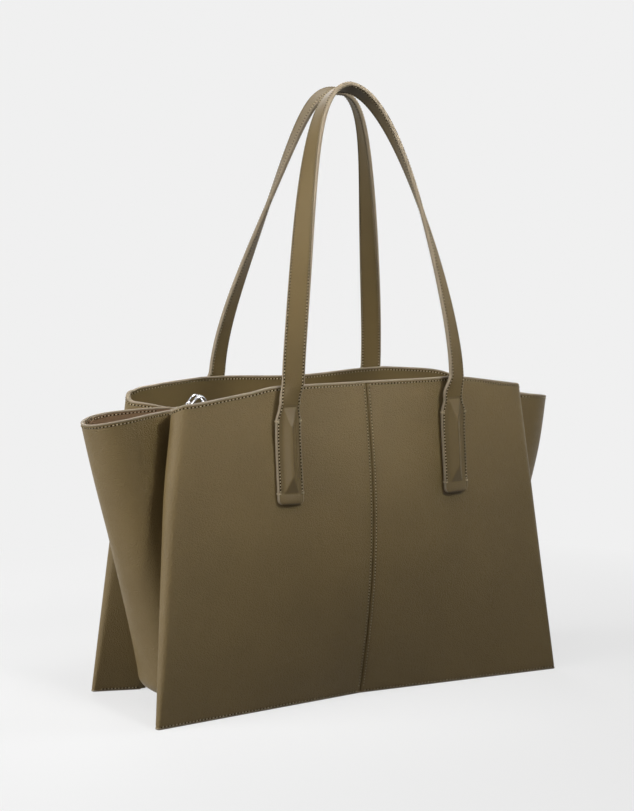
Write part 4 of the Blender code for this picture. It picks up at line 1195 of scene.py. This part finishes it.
def make_tabs():
    rows = Stitches()
    half_tab = TAB_WIDTH / 2
    strap_face = STRAP_DEPTH - STRAP_THICKNESS / 2 - 2 * GAP
    for is_back, wall in enumerate(WALLS):
        side_y = 1 if is_back else -1

        def wall_pair(z):
            return [wall_depth_at(TAB_X + x, z, is_back) for x in (-half_tab, half_tab)]

        hinge_walls = wall_pair(HINGE_HEIGHT)

        def back_face(x, z, walls):
            share = (x + half_tab) / (2 * half_tab)
            at_hinge = strap_face - lerp(*hinge_walls, share)
            rise = ((z - TAB_BOTTOM) / (HINGE_HEIGHT - TAB_BOTTOM)) ** 4.0
            return lerp(*walls, share) + 2 * GAP + lerp(0.0008, at_hinge, rise)

        heights = [TAB_BOTTOM + step for step in TAB_STEPS]
        heights += [lerp(TAB_BOTTOM + 0.008, HINGE_HEIGHT - 0.0012, k / 80) for k in range(81)]
        levels = [(z, wall_pair(z)) for z in heights]
        for side_x, side in SIDES.items():

            def spot(x, y, z, shift=0.0):
                return (side_x * (TAB_X + x) + lean(z, side), side_y * y, hang(z, side) + shift)

            sections, filler = [], []
            for z, walls in levels:
                sunk = min(z - TAB_BOTTOM, 0.0012)
                thin = 0.0010 * (1.0 - math.sqrt(max(0.0, 1.0 - (1.0 - sunk / 0.0012) ** 2)))
                puff = 0.0007 * math.sin(math.pi * min(max((z - TAB_BOTTOM) / 0.0095, 0.0), 1.0) ** 0.7)
                profile = strip_profile(tab_half_width(z, side), STRAP_STITCH, thin, STRAP_THICKNESS - thin,
                                        lambda x: ridge_at(x, z) + puff * (1.0 - (x / half_tab) ** 2))
                sections.append([spot(x, back_face(x, z, walls) + h, z) for x, h, _ in profile])
            tab = tube(f"{wall}_tab_leather_{side}", sections, [shaded_tab_olive, paint_and_highlight], strip_slots(profile))
            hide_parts(f"{wall}_tab_{side}")

            # Filler set back under the tab's edges; its near-black colour is painted shade in the gap under
            # the tab
            for z, walls in levels[9:76:6]:
                half = tab_half_width(z, side) - 0.0030
                filler.append([spot(-half, lerp(*walls, 0.1) - 0.0003, z),
                               spot(-half, back_face(-half, z, walls) + 0.0004, z),
                               spot(half, back_face(half, z, walls) + 0.0004, z),
                               spot(half, lerp(*walls, 0.9) - 0.0003, z)])
            core = tube(f"{wall}_tab_core_{side}", filler, [shaded_filler])
            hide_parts(f"{wall}_tab_filler_{side}")

            for line in (-1, 1):
                path = []
                for z, walls in levels:
                    if z >= TAB_RIDGE[0] + 0.0005:
                        x = line * (tab_half_width(z, side) - STRAP_STITCH)
                        path.append(spot(x, back_face(x, z, walls) + STRAP_THICKNESS - 0.00006, z))
                rows.row(path, [(0.0, side_y, 0.0)] * len(path), pitch=STRAP_PITCH, radius=STRAP_THREAD,
                         slant=-9.0)
                # Bar tacks that bind the tab's edge at the foot and the shoulder of the stitching
                for z in (TAB_RIDGE[0] + 0.0004, TAB_SHOULDER):
                    half = tab_half_width(z, side)
                    front = back_face(line * half, z, wall_pair(z)) + STRAP_THICKNESS
                    tack = [(half - 0.0026, front - 0.0001), (half - 0.0006, front + 0.0001),
                            (half + 0.00015, front - 0.0007), (half + 0.0003, front - 0.0034)]
                    out = [(0.0, side_y, 0.0), (0.0, side_y, 0.0), (side_x * line, side_y, 0.0),
                           (side_x * line, 0.0, 0.0)]
                    for shift in (-0.00035, 0.00035):
                        path = [spot(line * x, y, z, shift) for x, y in tack]
                        rows.row(path, out, pitch=0.0036, radius=0.00034, fill=0.98, slant=0.0, holes=0.0)
    rows.finish("tab_stitches")


for back in (False, True):
    for sign in SIDES:
        make_wall(sign, back)
    make_wall_beads(back)
    make_facing(back)
    make_lining(back)
    wall_stitches(back)
for sign in SIDES:
    make_wing(sign)
copy_node("base_panel", "base_leather", olive, 0.0004, reshape=open_base_end)
copy_node("base_board", "base_board_cover", suede, 0.0006)
make_dividers()
make_zip_metal()
make_slider()
make_puller()
make_zip_ends()
make_tabs()
for back in (False, True):
    make_strap(back)

# Floor, light and camera

BACKDROP = (0.871, 0.871, 0.871, 1.0)
PHOTO_HEIGHT = 811.0
CAMERA_FOCUS = 1664.0
SENSOR_WIDTH = 36.0
CAMERA_DIP = 5.30
CAMERA_TURN = -29.922


def empty_tree(owner):
    owner.use_nodes = True
    owner.node_tree.nodes.clear()
    return owner.node_tree


def larger(tree, a, b):
    node = add(tree, "ShaderNodeMath", p_operation="MAXIMUM")
    tree.links.new(a, node.inputs[0])
    tree.links.new(b, node.inputs[1])
    return node.outputs[0]


def mix_shader(tree, factor, a, b):
    node = tree.nodes.new("ShaderNodeMixShader")
    for socket, value in zip(node.inputs, (factor, a, b)):
        tree.links.new(value, socket)
    return node.outputs[0]


def by_ray(tree, light, seen, output):
    """Gives one shader to the camera, mirrors and glass, and another to the light on the part."""
    path = tree.nodes.new("ShaderNodeLightPath").outputs
    clear = larger(tree, path["Is Glossy Ray"], path["Is Transmission Ray"])
    both = mix_shader(tree, larger(tree, path["Is Camera Ray"], clear), light.outputs[0], seen)
    tree.links.new(both, tree.nodes.new(output).inputs["Surface"])


def studio_floor():
    work = bmesh.new()
    bmesh.ops.create_circle(work, cap_ends=True, radius=9.0, segments=96)
    mesh = bpy.data.meshes.new("studio_floor")
    work.to_mesh(mesh)
    work.free()
    material = bpy.data.materials.new("Studio floor")
    tree = empty_tree(material)
    away = add(tree, "ShaderNodeVectorMath", p_operation="LENGTH")
    tree.links.new(tree.nodes.new("ShaderNodeTexCoord").outputs["Object"], away.inputs[0])
    near = ramp(tree, away.outputs["Value"], 0.25, 0.75, 0.30, 0.0)
    bright = add(tree, "ShaderNodeEmission", Color=BACKDROP, Strength=1.0)
    pale = add(tree, "ShaderNodeBsdfDiffuse", Color=(0.90, 0.90, 0.90, 1.0))
    dull = add(tree, "ShaderNodeBsdfDiffuse", Color=(0.10, 0.10, 0.10, 1.0))
    shown = mix_shader(tree, near, bright.outputs[0], pale.outputs[0])
    by_ray(tree, dull, shown, "ShaderNodeOutputMaterial")
    mesh.materials.append(material)
    add_object("studio_floor", mesh)


def studio_world():
    world = bpy.data.worlds.new("Studio")
    bpy.context.scene.world = world
    tree = empty_tree(world)
    shown = add(tree, "ShaderNodeBackground", Color=BACKDROP, Strength=1.0)
    ambient = add(tree, "ShaderNodeBackground", Color=(1.0, 1.0, 1.0, 1.0), Strength=0.07)
    by_ray(tree, ambient, shown.outputs[0], "ShaderNodeOutputWorld")


def area_light(name, place, target, size, power, spread=180.0):
    data = bpy.data.lights.new(name, "AREA")
    data.shape = "SQUARE"
    data.size = size
    data.energy = power
    data.spread = math.radians(spread)
    light = add_object(name, data)
    light.location = place
    light.rotation_euler = (Vector(target) - Vector(place)).to_track_quat("-Z", "Y").to_euler()


studio_floor()
studio_world()
area_light("Left", (-1.69, 0.10, 0.92), (0.0, 0.0, 0.2), 1.1, 19.0)
area_light("Left low", (-1.65, 0.10, 0.40), (0.0, 0.0, 0.2), 1.4, 25.0)
area_light("Right high", (0.90, -0.30, 1.15), (0.0, 0.0, 0.45), 0.4, 0.70, spread=60.0)
area_light("Above", (-0.15, -0.30, 1.05), (0.05, 0.0, 0.30), 0.4, 1.2, spread=120.0)
area_light("Front", (0.20, -1.25, 1.20), (0.0, 0.0, 0.46), 0.5, 1.4, spread=36.0)
area_light("Back", (0.4, 2.0, 1.5), (0.0, 0.0, 0.2), 1.0, 14.0)

camera_data = bpy.data.cameras.new("Camera")
camera_data.lens = CAMERA_FOCUS / PHOTO_HEIGHT * SENSOR_WIDTH
camera_data.sensor_width = SENSOR_WIDTH
camera_data.clip_start = 0.05
camera_data.clip_end = 50.0
camera = add_object("Camera", camera_data)
camera.location = (-0.732, -1.2503, 0.3787)
camera.rotation_euler = (math.radians(90.0 - CAMERA_DIP), 0.0, math.radians(CAMERA_TURN))
bpy.context.scene.camera = camera
bpy.context.scene.view_settings.view_transform = "Standard"
